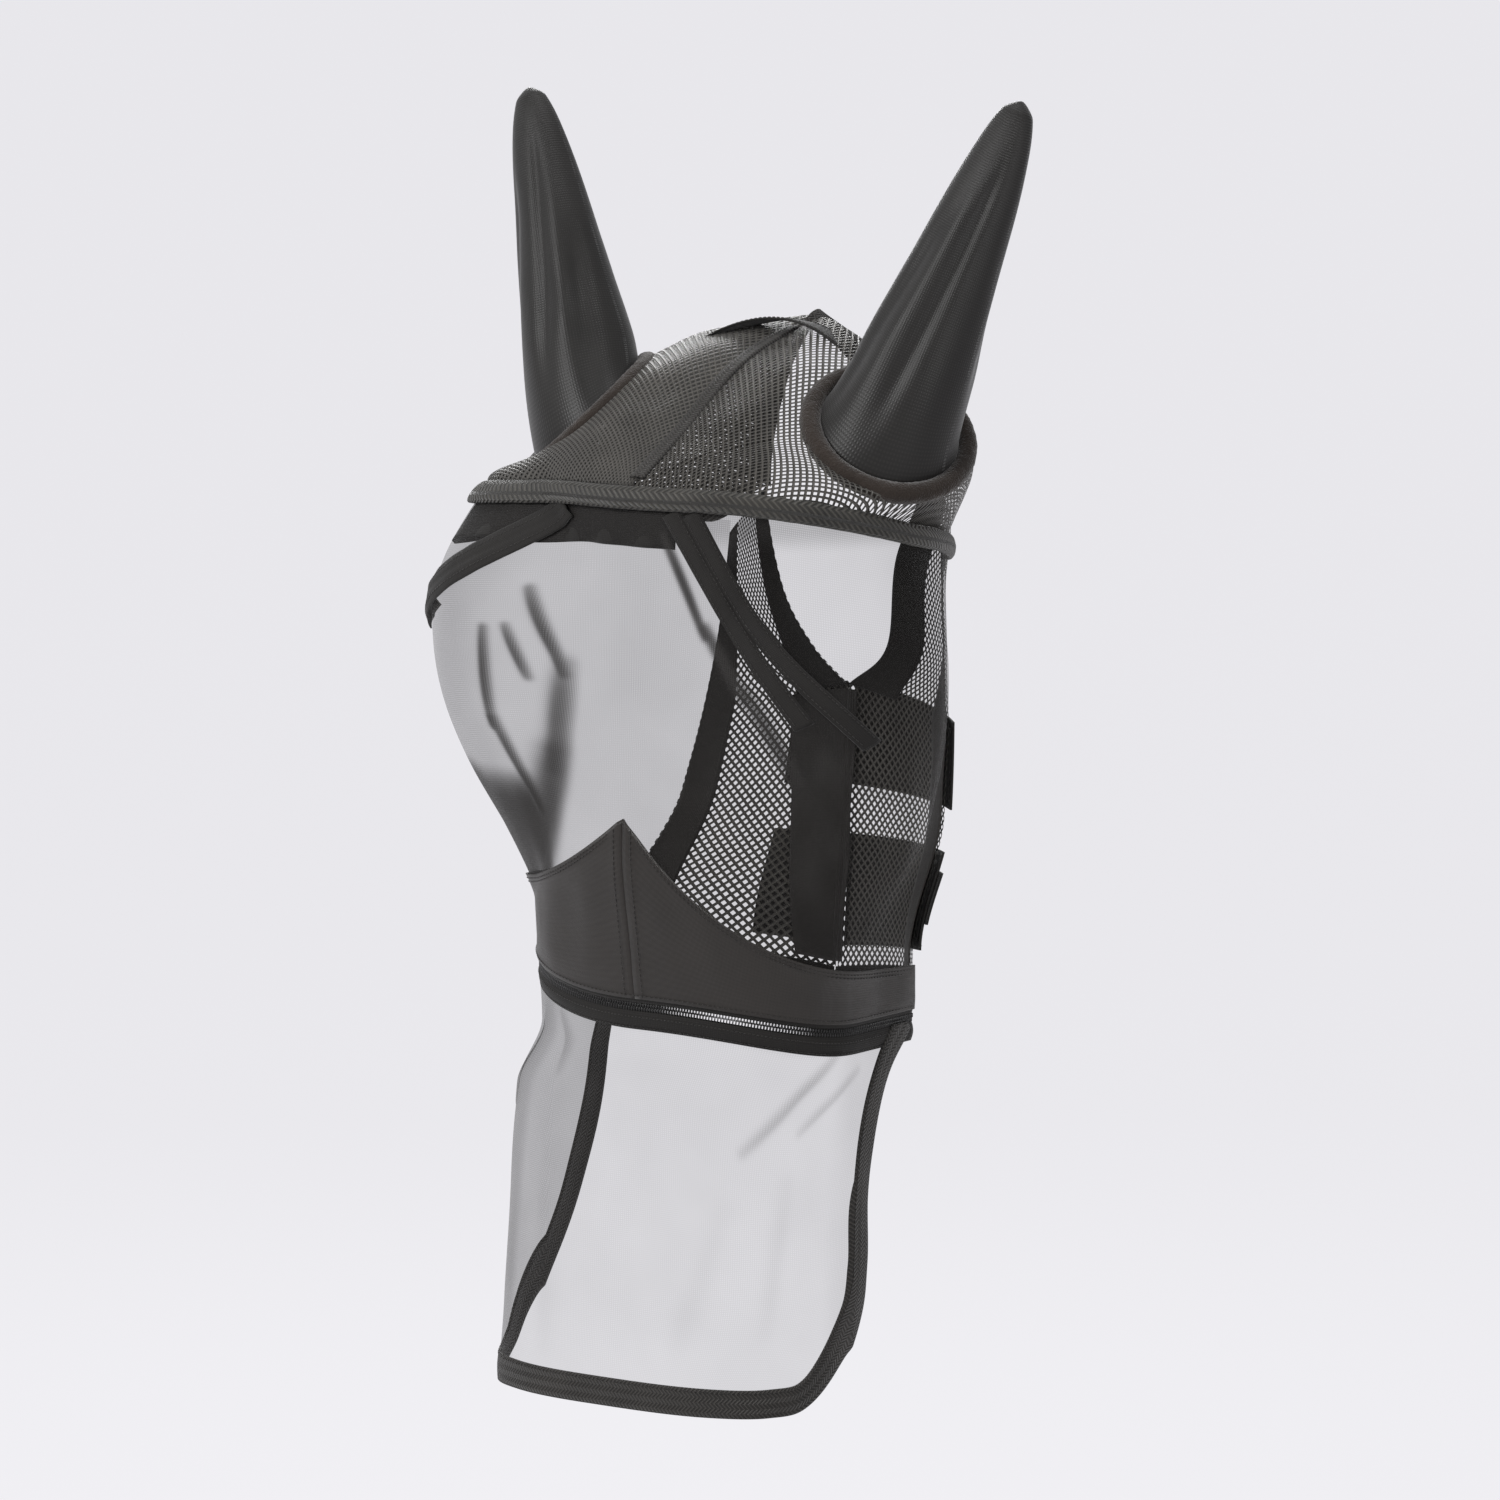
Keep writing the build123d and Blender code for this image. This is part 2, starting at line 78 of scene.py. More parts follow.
# eye bulges: place along the side, z of the tip, height, reach up, down and across, roundness
EYE_BULGES = {1: (0.66, -235, 34, 130, 165, 0.50, 1.6), -1: (0.60, -183, 76, 130, 175, 0.46, 1.5)}
BROW_TOP_Z = -96.0
BROW_FALL = {1: 58.0, -1: 40.0}
JOWL_TOP_Z, JOWL_HEIGHT, JOWL_BULGE = -139.0, 262.0, 10.0
JOWL_SPLIT = 0.42  # the share of a jowl panel's height that runs along the neck opening
JOWL_HEM_START = 0.945
CHEEK_BAND_SHARE = 0.22
NECK_FACING_START = {1: 0.62, -1: 0.66}
FLAP_TOP, FLAP_NARROWS = {1: 0.08, -1: 0.42}, {1: 0.0, -1: 0.22}
CENTRE_SEAM = [(0, 8, 0), (0, -72, -24), (0, -132, -60), (0, -181, -88)]
NECK_EDGE = {
    1: [(0, 8, 0), (38, 32, -36), (56, 46, -92), (34, 47, -150), (28, 46, -205), (0, 45, -230)],
    -1: [(0, 8, 0), (44, 38, -42), (66, 50, -104), (54, 50, -170), (28, 47, -208), (0, 45, -230)],
}
NECK_CROWN_END = 0.42
CROWN_BULGE, CROWN_MIDDLE_Z = 7.0, -170.0
THROAT_BOTTOM = (0, 30, -424)
EAR_CENTRE = (110, -75, -60)
EAR_NORMAL = (0.557, -0.39, 0.73)
EAR_RIM_RADIUS, EAR_RIM_THICK = 48.0, 5.5
EAR_TIP = (182, -41, 138)
EAR_BEND = 62.0  # a length along the ear's rise, given as the sleeve's bend; nothing bends the sleeve
# sections of an ear sleeve: share of its length, half width, half thickness
EAR_SECTIONS = [
    (-0.03, 36, 30), (0.15, 38, 33), (0.4, 32, 26), (0.65, 25, 19), (0.87, 17, 12), (0.96, 11, 8), (1, 5, 4),
]
# lengthwise creases of each ear: angle, half width, height, start and end share
EAR_CREASES = {
    1: [(-1.2, 0.16, -2.6, 0.0, 0.9), (-2.1, 0.2, -2.2, -0.1, 0.7), (0.4, 0.2, -2.0, 0.1, 0.8),
        (2.2, 0.25, -3.0, -0.1, 0.9), (-1.65, 0.16, 1.4, 0.0, 0.8)],
    -1: [(-1.5, 0.15, -2.4, 0.05, 0.95), (-0.7, 0.2, -2.6, -0.1, 0.6), (-2.5, 0.2, -2.0, 0.1, 0.8),
         (1.2, 0.25, -3.0, -0.1, 0.9), (-1.1, 0.15, 1.3, 0.1, 0.8)],
}
ROLL_HALF_HEIGHT, ROLL_HALF_THICK, ROLL_OFFSET = 7.0, 4.5, 3.0
ZIP_RISE = {1: -14.0, -1: 20.0}
ZIP_CENTRE_Z = -404.0
TOOTH_PITCH, TOOTH_HALF = 1.9, (0.42, 1.75, 1.05)
NOSEBAND_PEAK_Z = -288.0
NOSEBAND_FALL = {1: (100.0, 0.26), -1: (52.0, 0.20)}
SIDE_LENGTH = 232.0  # flat length of the cloth from the centre line to a rear seam
HEM_Z = -643.0
BINDING_WIDTH, BINDING_LAP = 17.0, 3.0
# the nose piece's edge from the zip down to the hem's middle: flat x and z
NOSE_REAR = {
    1: [(228, -424), (206, -446), (190, -482), (183, -520), (183, -560), (178, -590), (158, -622),
        (132, -640), (100, -643), (50, -643), (0, -643)],
    -1: [(228, -392), (226, -430), (220, -480), (204, -530), (184, -572), (158, -612), (140, -634),
         (112, -643), (56, -643), (0, -643)],
}
STRAP_BANDS = {"upper": (-246, -298), "lower": (-322, -377)}
# eye darts: place and z of both ends, width, places of the two rows of stitches across the tape
EYE_DARTS = {
    "eye_dart_right_tape": ((-0.20, -104), (-0.58, -184), 17, (-0.28, 0.28)),
    "eye_dart_left_inner_tape": ((0.088, -104), (0.41, -228), 10, (-0.34, 0.34)),
    "eye_dart_left_outer_tape": ((0.135, -104), (0.55, -240), 10, (-0.34, 0.34)),
}
STITCH_PITCH, STITCH_HALF = 3.3, (1.15, 0.28, 0.24)
# soft folds in the fine mesh: flat x and z of both ends, half width, height, extra layers
FOLDS = [
    (-58, -155, -41, -205, 2.6, 2.5, 9.0),
    (-41, -200, -50, -262, 5.5, 3.5, 7.0),
    (-50, -255, -64, -318, 9, 3.5, 11.0),
    (-76, -180, -77, -240, 2.2, 2.0, 9.0),
    (-76, -235, -66, -290, 2.4, 2.0, 9.0),
    (-66, -178, -58, -208, 2.2, 2.0, 8.0),
    (17, -118, 43, -177, 2.2, 1.5, 12.0),
    (43, -172, 66, -213, 3, 2.0, 12.0),
    (66, -208, 95, -262, 3.4, 2.5, 9.0),
    (104, -250, 150, -275, 6, 3.0, 0.8),
    (96, -268, 128, -310, 6, 3.0, 0.7),
    (150, -250, 172, -330, 7, 3.0, 0.6),
    (145, -430, 74, -484, 4, 3.0, 1.6),
    (168, -442, 120, -474, 3, 2.0, 1.2),
    (-60, -414, -44, -446, 4, 2.5, 1.5),
    (-84, -416, -90, -470, 5, 3.0, 1.0),
    (60, -520, 30, -600, 9, 2.0, 0.25),
    (110, -505, 96, -590, 8, 2.0, 0.3),
    (-40, -500, -30, -610, 8, 2.0, 0.3),
]


# ---------------------------------------------------------------- the shape
def ramp(f):
    f = min(max(f, 0.0), 1.0)
    return f * f * (3 - 2 * f)


def monotone(table, depth):
    """Interpolates rows keyed by falling z, without overshoot."""
    rows = [(-row[0], *row[1:]) for row in table]
    depth = min(max(depth, rows[0][0]), rows[-1][0])
    i = max(k for k in range(len(rows) - 1) if rows[k][0] <= depth)
    span = rows[i + 1][0] - rows[i][0]
    f = (depth - rows[i][0]) / span

    def slope(k, column):
        if k == 0 or k == len(rows) - 1:
            j = min(k, len(rows) - 2)
            return (rows[j + 1][column] - rows[j][column]) / (rows[j + 1][0] - rows[j][0])
        before = (rows[k][column] - rows[k - 1][column]) / (rows[k][0] - rows[k - 1][0])
        after = (rows[k + 1][column] - rows[k][column]) / (rows[k + 1][0] - rows[k][0])
        return 2 * before * after / (before + after) if before * after > 0 else 0.0

    values = []
    for column in range(1, len(rows[0])):
        a, b = rows[i][column], rows[i + 1][column]
        da, db = slope(i, column) * span, slope(i + 1, column) * span
        values.append(
            (2 * f**3 - 3 * f**2 + 1) * a
            + (f**3 - 2 * f**2 + f) * da
            + (3 * f**2 - 2 * f**3) * b
            + (f**3 - f**2) * db
        )
    return values


def along(points, f):
    """A point a share f of the way along a smooth curve through points."""
    f = min(max(f, 0.0), 1.0) * (len(points) - 1)
    i = min(int(f), len(points) - 2)
    t = f - i
    p1, p2 = Vector(points[i]), Vector(points[i + 1])
    p0 = Vector(points[i - 1]) if i else p1 * 2 - p2
    p3 = Vector(points[i + 2]) if i + 2 < len(points) else p2 * 2 - p1
    first = (p2 - p0) * t
    second = (p0 * 2 - p1 * 5 + p2 * 4 - p3) * t * t
    third = (p1 * 3 - p0 - p2 * 3 + p3) * t**3
    return (p1 * 2 + first + second + third) * 0.5


def bulge(side, s, z):
    s0, z0, height, up, down, across, power = EYE_BULGES[side]
    reach = math.hypot((z - z0) / (up if z > z0 else down), (s - s0) / across)
    return height * ramp((1 - s) / 0.3) * max(0.0, 1 - reach * reach) ** power


def skin_point(w, z, offset=0.0):
    """A point on the face or nose cloth."""
    side, s = (1 if w >= 0 else -1), abs(w)
    half, front, widest, squareness, seam_x, seam_y = monotone(STATIONS, -z)
    if s < CORNER:
        turn = s / CORNER * math.pi / 2
        x = half * math.sin(turn) ** (2 / squareness)
        y = widest - (widest - front) * math.cos(turn) ** (2 / squareness)
    else:
        f = (s - CORNER) / (1 - CORNER)
        x = half - (half - seam_x) * f * f
        y = widest + (seam_y - widest) * f
    out = Vector((x, y - AXIS_Y, 0)).normalized() * (bulge(side, s, z) + offset)
    return Vector((side * (x + out.x) + monotone(SWAY, -z)[0], y + out.y, z))


def fold(w, z):
    """(height, extra layers) of the folds in the fine mesh at a place."""
    x, height, layers = w * SIDE_LENGTH, 0.0, 0.0
    for x0, z0, x1, z1, wide, high, thick in FOLDS:
        run = Vector((x1 - x0, z1 - z0))
        f = ((x - x0) * run.x + (z - z0) * run.y) / run.length_squared
        g = min(max(f, 0.0), 1.0)
        away = math.hypot(x - x0 - run.x * g, z - z0 - run.y * g) / wide
        strength = math.exp(-away * away) * math.sin(math.pi * min(max(0.08 + 0.84 * g, 0), 1)) ** 0.5
        height += high * strength
        layers += thick * strength
    return height, layers


def ripple(w, z, scale, height):
    return noise.noise(Vector((w * SIDE_LENGTH / scale, z / (2.2 * scale), 3.1))) * height


def brow_z(w):
    fall = BROW_FALL[1 if w >= 0 else -1]
    return BROW_TOP_Z - fall * max(0.0, abs(w) - 0.15) ** 1.6


def brow_under(w):
    return brow_z(w) - ROLL_HALF_HEIGHT - 0.4


def zip_z(w):
    return ZIP_CENTRE_Z + ZIP_RISE[1 if w >= 0 else -1] * ramp(abs(w) / CORNER)


def noseband_top(w):
    w = math.copysign(max(abs(w), 1e-6), w)
    drop, rate = NOSEBAND_FALL[1 if w >= 0 else -1]
    return NOSEBAND_PEAK_Z - drop * (1 - math.exp(-abs(w) / rate))


def neck_point(side, f):
    p = along(NECK_EDGE[side], f)
    return Vector((side * p.x, p.y, p.z))


def outward(p):
    return Vector((p.x, p.y - AXIS_Y, 0)).normalized()


def jowl_point(side, u, v, offset=0.0):
    """A point of a jowl panel, from u = 0 at the rear seam of the face to u = 1 at the throat."""
    front = skin_point(side, JOWL_TOP_Z - JOWL_HEIGHT * v)
    if v < JOWL_SPLIT:
        rear = neck_point(side, NECK_CROWN_END + (1 - NECK_CROWN_END) * v / JOWL_SPLIT)
    else:
        f = (v - JOWL_SPLIT) / (1 - JOWL_SPLIT)
        rear = Vector(NECK_EDGE[1][-1]) * (1 - f) + Vector(THROAT_BOTTOM) * f
    rear.x += side * 0.5
    p = front * (1 - u) + rear * u
    return p + outward(p) * (offset + JOWL_BULGE * 4 * u * (1 - u))


def ear_frame(side):
    """An ear rim's centre, the way it faces, and its level direction."""
    normal = Vector((side * EAR_NORMAL[0], EAR_NORMAL[1], EAR_NORMAL[2])).normalized()
    level = normal.cross(Vector((0, 0, 1))).normalized()
    return Vector((side * EAR_CENTRE[0], EAR_CENTRE[1], EAR_CENTRE[2])), normal, level


def rim_point(side, target, radius):
    centre, normal, _ = ear_frame(side)
    away = target - centre
    away -= normal * away.dot(normal)
    return centre + away.normalized() * radius


def crown_edge(side, f):
    """A point on the outer edge of half of the crown, which goes once round as f goes from 0 to 1."""
    gap = Vector((side * 0.2, 0, 0))
    if f < 0.3:
        return along(CENTRE_SEAM, 0.5 + f / 0.6) + gap
    if f < 0.6:
        s = (f - 0.3) / 0.3
        return skin_point(side * s, brow_z(side * s) + ROLL_HALF_HEIGHT - 1) + gap * (1 - s)
    if f < 0.68:
        k = (f - 0.6) / 0.08
        low = skin_point(side, brow_z(side) + ROLL_HALF_HEIGHT - 1)
        return low * (1 - k) + neck_point(side, NECK_CROWN_END) * k
    if f < 0.85:
        return neck_point(side, NECK_CROWN_END * (0.85 - f) / 0.17) + gap
    return along(CENTRE_SEAM, (f - 0.85) / 0.3) + gap


def crown_out(p):
    return (p - Vector((0, AXIS_Y, CROWN_MIDDLE_Z))).normalized()


def crown_point(side, f, r, offset=0.0):
    """A point of the crown, from r = 0 at the ear's rim to r = 1 at the edge."""
    edge = crown_edge(side, f % 1.0)
    rim = rim_point(side, edge, EAR_RIM_RADIUS + EAR_RIM_THICK - 2)
    p = rim * (1 - r) + edge * r
    uneven = 2.2 * noise.noise(p / 34) * min(1, 5 * r * (1 - r))
    return p + crown_out(p) * (offset + CROWN_BULGE * 4 * r * (1 - r) + uneven)


def crown_uv(p):
    high = p.z - CROWN_MIDDLE_Z
    return 150 * math.atan2(p.x, high), 150 * math.atan2(p.y - AXIS_Y, high)


def steps(low, high, count):
    return [low + (high - low) * i / count for i in range(count + 1)]


# ---------------------------------------------------------------- materials
# every cloth is black: these shares bring its stated colour, sheen and gloss down to it
DYE, SHEEN, GLOSS = 0.42, 0.3, 0.6
HOLE_PITCH = 0.0046  # metres between the holes of the air mesh


class Look:
    """Builds one procedural material."""

    def __init__(self, name):
        self.material = bpy.data.materials.new(name)
        self.material.use_nodes = True
        self.tree = self.material.node_tree
        self.tree.nodes.clear()
        self.output = self.tree.nodes.new("ShaderNodeOutputMaterial")
        place = self.tree.nodes.new("ShaderNodeTexCoord")
        split = self.tree.nodes.new("ShaderNodeSeparateXYZ")
        self.tree.links.new(place.outputs["UV"], split.inputs[0])
        self.u, self.v = split.outputs[0], split.outputs[1]
        self.place = place.outputs["Object"]

    def put(self, socket, value):
        if isinstance(value, bpy.types.NodeSocket):
            self.tree.links.new(value, socket)
        else:
            socket.default_value = value

    def math(self, operation, a, b=0.0, c=0.0):
        node = self.tree.nodes.new("ShaderNodeMath")
        node.operation = operation
        for socket, value in zip(node.inputs, (a, b, c)):
            self.put(socket, value)
        return node.outputs[0]

    def wave(self, along_, pitch):
        """0 to 1 ridges of a pitch in metres."""
        turn = self.math("MULTIPLY", along_, 2 * math.pi / pitch)
        return self.math("MULTIPLY_ADD", self.math("COSINE", turn), 0.5, 0.5)

    def noise(self, size, detail=2.0):
        node = self.tree.nodes.new("ShaderNodeTexNoise")
        self.tree.links.new(self.place, node.inputs["Vector"])
        node.inputs["Scale"].default_value = 1 / size
        node.inputs["Detail"].default_value = detail
        return node.outputs["Fac"]

    def weave(self, pitch):
        """Plain weave: threads pass over and under by turns."""
        return self.math("MULTIPLY", self.wave(self.u, pitch), self.wave(self.v, pitch))

    def twill(self, pitch, band):
        """Herringbone: slanted ribs that turn back at every band."""
        zigzag = self.math("PINGPONG", self.v, band)
        return self.wave(self.math("ADD", self.u, zigzag), pitch)

    def blend(self, factor, a, b):
        node = self.tree.nodes.new("ShaderNodeMix")
        node.data_type = "RGBA"
        self.put(node.inputs[0], factor)
        self.put(node.inputs[6], (*a, 1.0))
        self.put(node.inputs[7], (*b, 1.0))
        return node.outputs[2]

    def cloth(self, dark, light, height, depth, rough, sheen=0.3, specular=0.3):
        """A principled surface coloured and bumped by a height from 0 to 1."""
        tree = self.tree
        patchy = self.noise(0.03)
        # painted light: the height share paints the raised threads lighter and the hollows darker, a painted
        # highlight and shade of the weave; the patchy share is the cloth's own uneven tone
        weave_light_and_patches = self.math("MULTIPLY_ADD", height, 0.55, self.math("MULTIPLY", patchy, 0.45))
        shader = tree.nodes.new("ShaderNodeBsdfPrincipled")
        dyed_with_painted_weave_light = self.blend(weave_light_and_patches, [k * DYE for k in dark], [k * DYE for k in light])
        self.put(shader.inputs["Base Color"], dyed_with_painted_weave_light)
        uneven = self.math("MULTIPLY_ADD", patchy, 0.16, rough - 0.08)
        self.put(shader.inputs["Roughness"], self.math("MULTIPLY_ADD", height, -0.08, uneven))
        shader.inputs["Sheen Weight"].default_value = sheen * SHEEN
        shader.inputs["Sheen Roughness"].default_value = 0.45
        shader.inputs["Specular IOR Level"].default_value = specular * GLOSS
        bump = tree.nodes.new("ShaderNodeBump")
        bump.inputs["Strength"].default_value = 0.8
        bump.inputs["Distance"].default_value = depth
        self.put(bump.inputs["Height"], height)
        self.put(shader.inputs["Normal"], bump.outputs["Normal"])
        self.shader = shader
        self.put(self.output.inputs["Surface"], shader.outputs[0])
        return self.material

    def see_through(self, cover):
        """Lets light through where cover, from 0 to 1, is low."""
        clear = self.tree.nodes.new("ShaderNodeBsdfTransparent")
        mix = self.tree.nodes.new("ShaderNodeMixShader")
        self.put(mix.inputs[0], cover)
        self.tree.links.new(clear.outputs[0], mix.inputs[1])
        self.tree.links.new(self.shader.outputs[0], mix.inputs[2])
        self.put(self.output.inputs["Surface"], mix.outputs[0])
        return self.material


def fine_mesh_look():
    look = Look("fine_mesh")
    threads = look.math("MAXIMUM", look.wave(look.u, 0.00135), look.wave(look.v, 0.00125))
    look.cloth((0.012, 0.011, 0.010), (0.05, 0.045, 0.042), threads, 0.0002, 0.6, 0.25)
    gather = look.tree.nodes.new("ShaderNodeAttribute")
    gather.attribute_name = "gather"
    layers = look.math("ADD", gather.outputs["Fac"], 1.0)
    uneven = look.math("MULTIPLY_ADD", look.noise(0.05), 0.10, 0.73)
    weave = look.math("MULTIPLY_ADD", threads, -0.10, look.math("ADD", uneven, 0.07))
    clear = look.math("POWER", weave, layers)
    return look.see_through(look.math("SUBTRACT", 1.0, clear))


def air_mesh_look(name, half_hole):
    """Knitted mesh with diamond holes; half_hole is a share of the pitch between them."""
    look = Look(name)
    across = look.math("MULTIPLY", look.u, 1 / HOLE_PITCH)
    down = look.math("MULTIPLY", look.v, 0.8 / HOLE_PITCH)
    slants = look.math("ADD", across, down), look.math("SUBTRACT", across, down)
    middles = [look.math("ABSOLUTE", look.math("SUBTRACT", look.math("FRACT", k), 0.5)) for k in slants]
    away = look.math("SMOOTH_MAX", middles[0], middles[1], 0.12)
    ridge = look.math("SMOOTH_MIN", look.math("MULTIPLY", away, 2.0), 1.0, 0.1)
    threads = look.math("POWER", look.math("MAXIMUM", look.math("SUBTRACT", ridge, 0.2), 0.0), 3.0)
    height = look.math("MULTIPLY", threads, 2.0)
    # painted glint: the light colour on the raised threads stands for glints on the black knit; the holes
    # stay black
    look.cloth((0.0, 0.0, 0.0), (0.30, 0.28, 0.25), height, 0.0012, 0.5, 0.2, specular=0.4)
    edge = look.math("MULTIPLY", look.math("SUBTRACT", away, half_hole), 30.0)
    return look.see_through(look.math("MINIMUM", look.math("MAXIMUM", edge, 0.0), 1.0))


def satin_look():
    look = Look("satin")
    ribs = look.wave(look.u, 0.0009)
    threads = look.math("MULTIPLY_ADD", look.wave(look.v, 0.0022), 0.25, look.math("MULTIPLY", ribs, 0.75))
    dark, light = (0.022, 0.019, 0.016), (0.062, 0.052, 0.045)
    return look.cloth(dark, light, threads, 0.00025, 0.42, 0.35, specular=0.5)


def lycra_look():
    look = Look("lycra")
    knit = look.math("MULTIPLY", look.wave(look.u, 0.0012), look.wave(look.v, 0.0016))
    return look.cloth((0.016, 0.015, 0.014), (0.04, 0.037, 0.034), knit, 0.00012, 0.46, 0.6, specular=0.35)


def fleece_look():
    look = Look("fleece")
    tufts = look.noise(0.0011, 6.0)
    pile = look.math("MULTIPLY_ADD", tufts, 0.75, look.math("MULTIPLY", look.noise(0.006), 0.25))
    return look.cloth((0.008, 0.006, 0.005), (0.105, 0.082, 0.068), pile, 0.0015, 0.9, 0.9, specular=0.1)


def tape_look():
    look = Look("tape")
    ribs = look.math("MULTIPLY_ADD", look.weave(0.0012), 0.7, look.math("MULTIPLY", look.noise(0.002), 0.3))
    return look.cloth((0.010, 0.009, 0.008), (0.046, 0.042, 0.038), ribs, 0.0003, 0.72, 0.35)


def webbing_look():
    look = Look("webbing")
    ribs = look.twill(0.0026, 0.0030)
    return look.cloth((0.004, 0.004, 0.003), (0.11, 0.10, 0.09), ribs, 0.0009, 0.6, 0.3, specular=0.4)


def roll_look():
    look = Look("padded_roll")
    ribs = look.twill(0.0042, 0.0046)
    return look.cloth((0.003, 0.003, 0.002), (0.16, 0.15, 0.13), ribs, 0.0016, 0.55, 0.3, specular=0.5)


def flap_look():
    look = Look("flap_lining")
    warp, weft = look.wave(look.u, 0.001), look.wave(look.v, 0.001)
    ribs = look.math("MULTIPLY_ADD", warp, 0.5, look.math("MULTIPLY", weft, 0.4))
    return look.cloth((0.012, 0.010, 0.008), (0.045, 0.038, 0.033), ribs, 0.0002, 0.5, 0.45, specular=0.4)


def hook_look():
    look = Look("hook_and_loop")
    loops = look.noise(0.0008, 5.0)
    return look.cloth((0.005, 0.005, 0.005), (0.05, 0.047, 0.045), loops, 0.0009, 0.9, 0.6, specular=0.1)


def thread_look():
    look = Look("thread")
    twist = look.wave(look.math("ADD", look.u, look.v), 0.0006)
    return look.cloth((0.012, 0.011, 0.010), (0.07, 0.062, 0.056), twist, 0.00012, 0.5, 0.3, specular=0.45)


def plastic_look():
    look = Look("zip_plastic")
    grain = look.noise(0.0015, 3.0)
    return look.cloth((0.012, 0.012, 0.012), (0.04, 0.038, 0.037), grain, 0.00015, 0.34, 0.0, specular=0.5)


def lacquer_look():
    look = Look("lacquer")
    dark, light = (0.012, 0.012, 0.012), (0.035, 0.034, 0.033)
    material = look.cloth(dark, light, look.noise(0.002, 4.0), 0.0001, 0.28, 0.0, specular=0.5)
    look.shader.inputs["Coat Weight"].default_value = 0.4
    return material


LOOKS = {
    "fine_mesh": fine_mesh_look(),
    "air_mesh": air_mesh_look("air_mesh", 0.27),
    "crown_mesh": air_mesh_look("crown_mesh", 0.17),
    "satin": satin_look(),
    "lycra": lycra_look(),
    "fleece": fleece_look(),
    "tape": tape_look(),
    "flap": flap_look(),
    "webbing": webbing_look(),
    "padded_roll": roll_look(),
    "hook_and_loop": hook_look(),
    "thread": thread_look(),
    "zip_teeth": plastic_look(),
    "zip_metal": lacquer_look(),
}
SLOTS = {"flap": "tape", "thread": "tape", "crown_mesh": "air_mesh"}  # looks paired with the slot they would share; nothing is done with this table


# ---------------------------------------------------------------- mesh making
LEAST_SIDE = 0.0105  # the least side of a sheet's worked-out flat size, in metres


def make_piece(name, points, faces, uvs, look, body, nodes, gather=None, bend=None):
    """Makes a mesh from points in millimetres, with a uv in metres for each point.

    With a bend, the piece is attached to no body and its placement is baked into its mesh.
    """
    mesh = bpy.data.meshes.new(name)
    mesh.from_pydata([p * MM for p in points], [], faces)
    layer = mesh.uv_layers.new(name="UVMap")
    for loop in mesh.loops:
        layer.data[loop.index].uv = uvs[loop.vertex_index]
    if gather:
        attribute = mesh.attributes.new("gather", "FLOAT", "POINT")
        attribute.data.foreach_set("value", gather)
    mesh.shade_smooth()
    piece = bpy.data.objects.new(name, mesh)
    bpy.context.collection.objects.link(piece)
    mesh.materials.append(LOOKS[look])
    if bend:
        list(body)
        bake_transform(piece)
    else:
        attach(piece, body)
    SLOTS.get(look, look)
    if nodes:
        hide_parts(*nodes)
    return piece


def lengths(rows):
    """Mean distance of each column from the first one, in metres."""
    marks = [0.0]
    for j in range(1, len(rows[0])):
        marks.append(marks[-1] + sum((row[j] - row[j - 1]).length for row in rows) / len(rows) * MM)
    return marks


def longest(rows):
    """The length of the longest row of points."""
    return max(sum((b - a).length for a, b in zip(row, row[1:])) for row in rows)


def cloth(name, place, us, vs, look, nodes, body="mask", low=0.0, high=None, ring=False,
          uv=None, gather=None, bend=None):
    """A sheet of cloth between place(u, v, low) and place(u, v, high).

    With no high it is a single surface. A ring closes on itself along u. Its flat size, that of its outer
    surface, is worked out but not used.
    """
    layers = [low] if high is None else [high, low]
    points, uvs, faces, extra = [], [], [], []
    count_u, count_v = len(us), len(vs)
    grids = [[[place(u, v, offset) for v in vs] for u in us] for offset in layers]
    grid = grids[0]
    ahead = lengths([list(column) for column in zip(*grid)])
    down = lengths(grid)
    for layer in grids:
        for i, row in enumerate(layer):
            for j, point in enumerate(row):
                points.append(point)
                a, b = uv(point) if uv else (ahead[i] / MM, down[j] / MM)
                uvs.append((a * MM, b * MM))
                extra.append(gather(us[i], vs[j]) if gather else 0.0)
    size = count_u * count_v

    def at(k, i, j):
        return k * size + (i % (count_u - 1) if ring else i) * count_v + j

    for k in range(len(layers)):
        for i in range(count_u - 1):
            for j in range(count_v - 1):
                face = (at(k, i, j), at(k, i + 1, j), at(k, i + 1, j + 1), at(k, i, j + 1))
                faces.append(face if k == 0 else face[::-1])
    if high is not None:
        for j, turn in ((0, 1), (count_v - 1, -1)):
            for i in range(count_u - 1):
                faces.append((at(0, i, j), at(1, i, j), at(1, i + 1, j), at(0, i + 1, j))[::turn])
        if not ring:
            for i, turn in ((0, -1), (count_u - 1, 1)):
                for j in range(count_v - 1):
                    faces.append((at(0, i, j), at(1, i, j), at(1, i, j + 1), at(0, i, j + 1))[::turn])
    piece = make_piece(name, points, faces, uvs, look, body, nodes, extra if gather else None, bend)
    flat = tuple(max(longest(rows) * MM, LEAST_SIDE) for rows in (zip(*grid), grid))
    return piece


def tube(name, rings, look, nodes, closed, body="mask"):
    """A solid tube through rings of points; closed joins the last ring to the first."""
    count, around = len(rings), len(rings[0])
    points = [p for ring in rings for p in ring]
    ahead = lengths([[ring[j] for ring in rings] for j in range(around)])
    girth = sum((rings[0][j] - rings[0][j - 1]).length for j in range(around)) * MM
    widest = max(sum((ring[j] - ring[j - 1]).length for j in range(around)) for ring in rings) * MM
    girth = max(girth, widest)
    uvs = [(ahead[i], girth * j / around) for i in range(count) for j in range(around)]
    faces = []
    for i in range(count if closed else count - 1):
        for j in range(around):
            k, m = (i + 1) % count, (j + 1) % around
            faces.append((i * around + j, k * around + j, k * around + m, i * around + m))
    if not closed:
        faces.append(tuple(range(around)))
        faces.append(tuple((count - 1) * around + j for j in reversed(range(around))))
    return make_piece(name, points, faces, uvs, look, body, nodes)


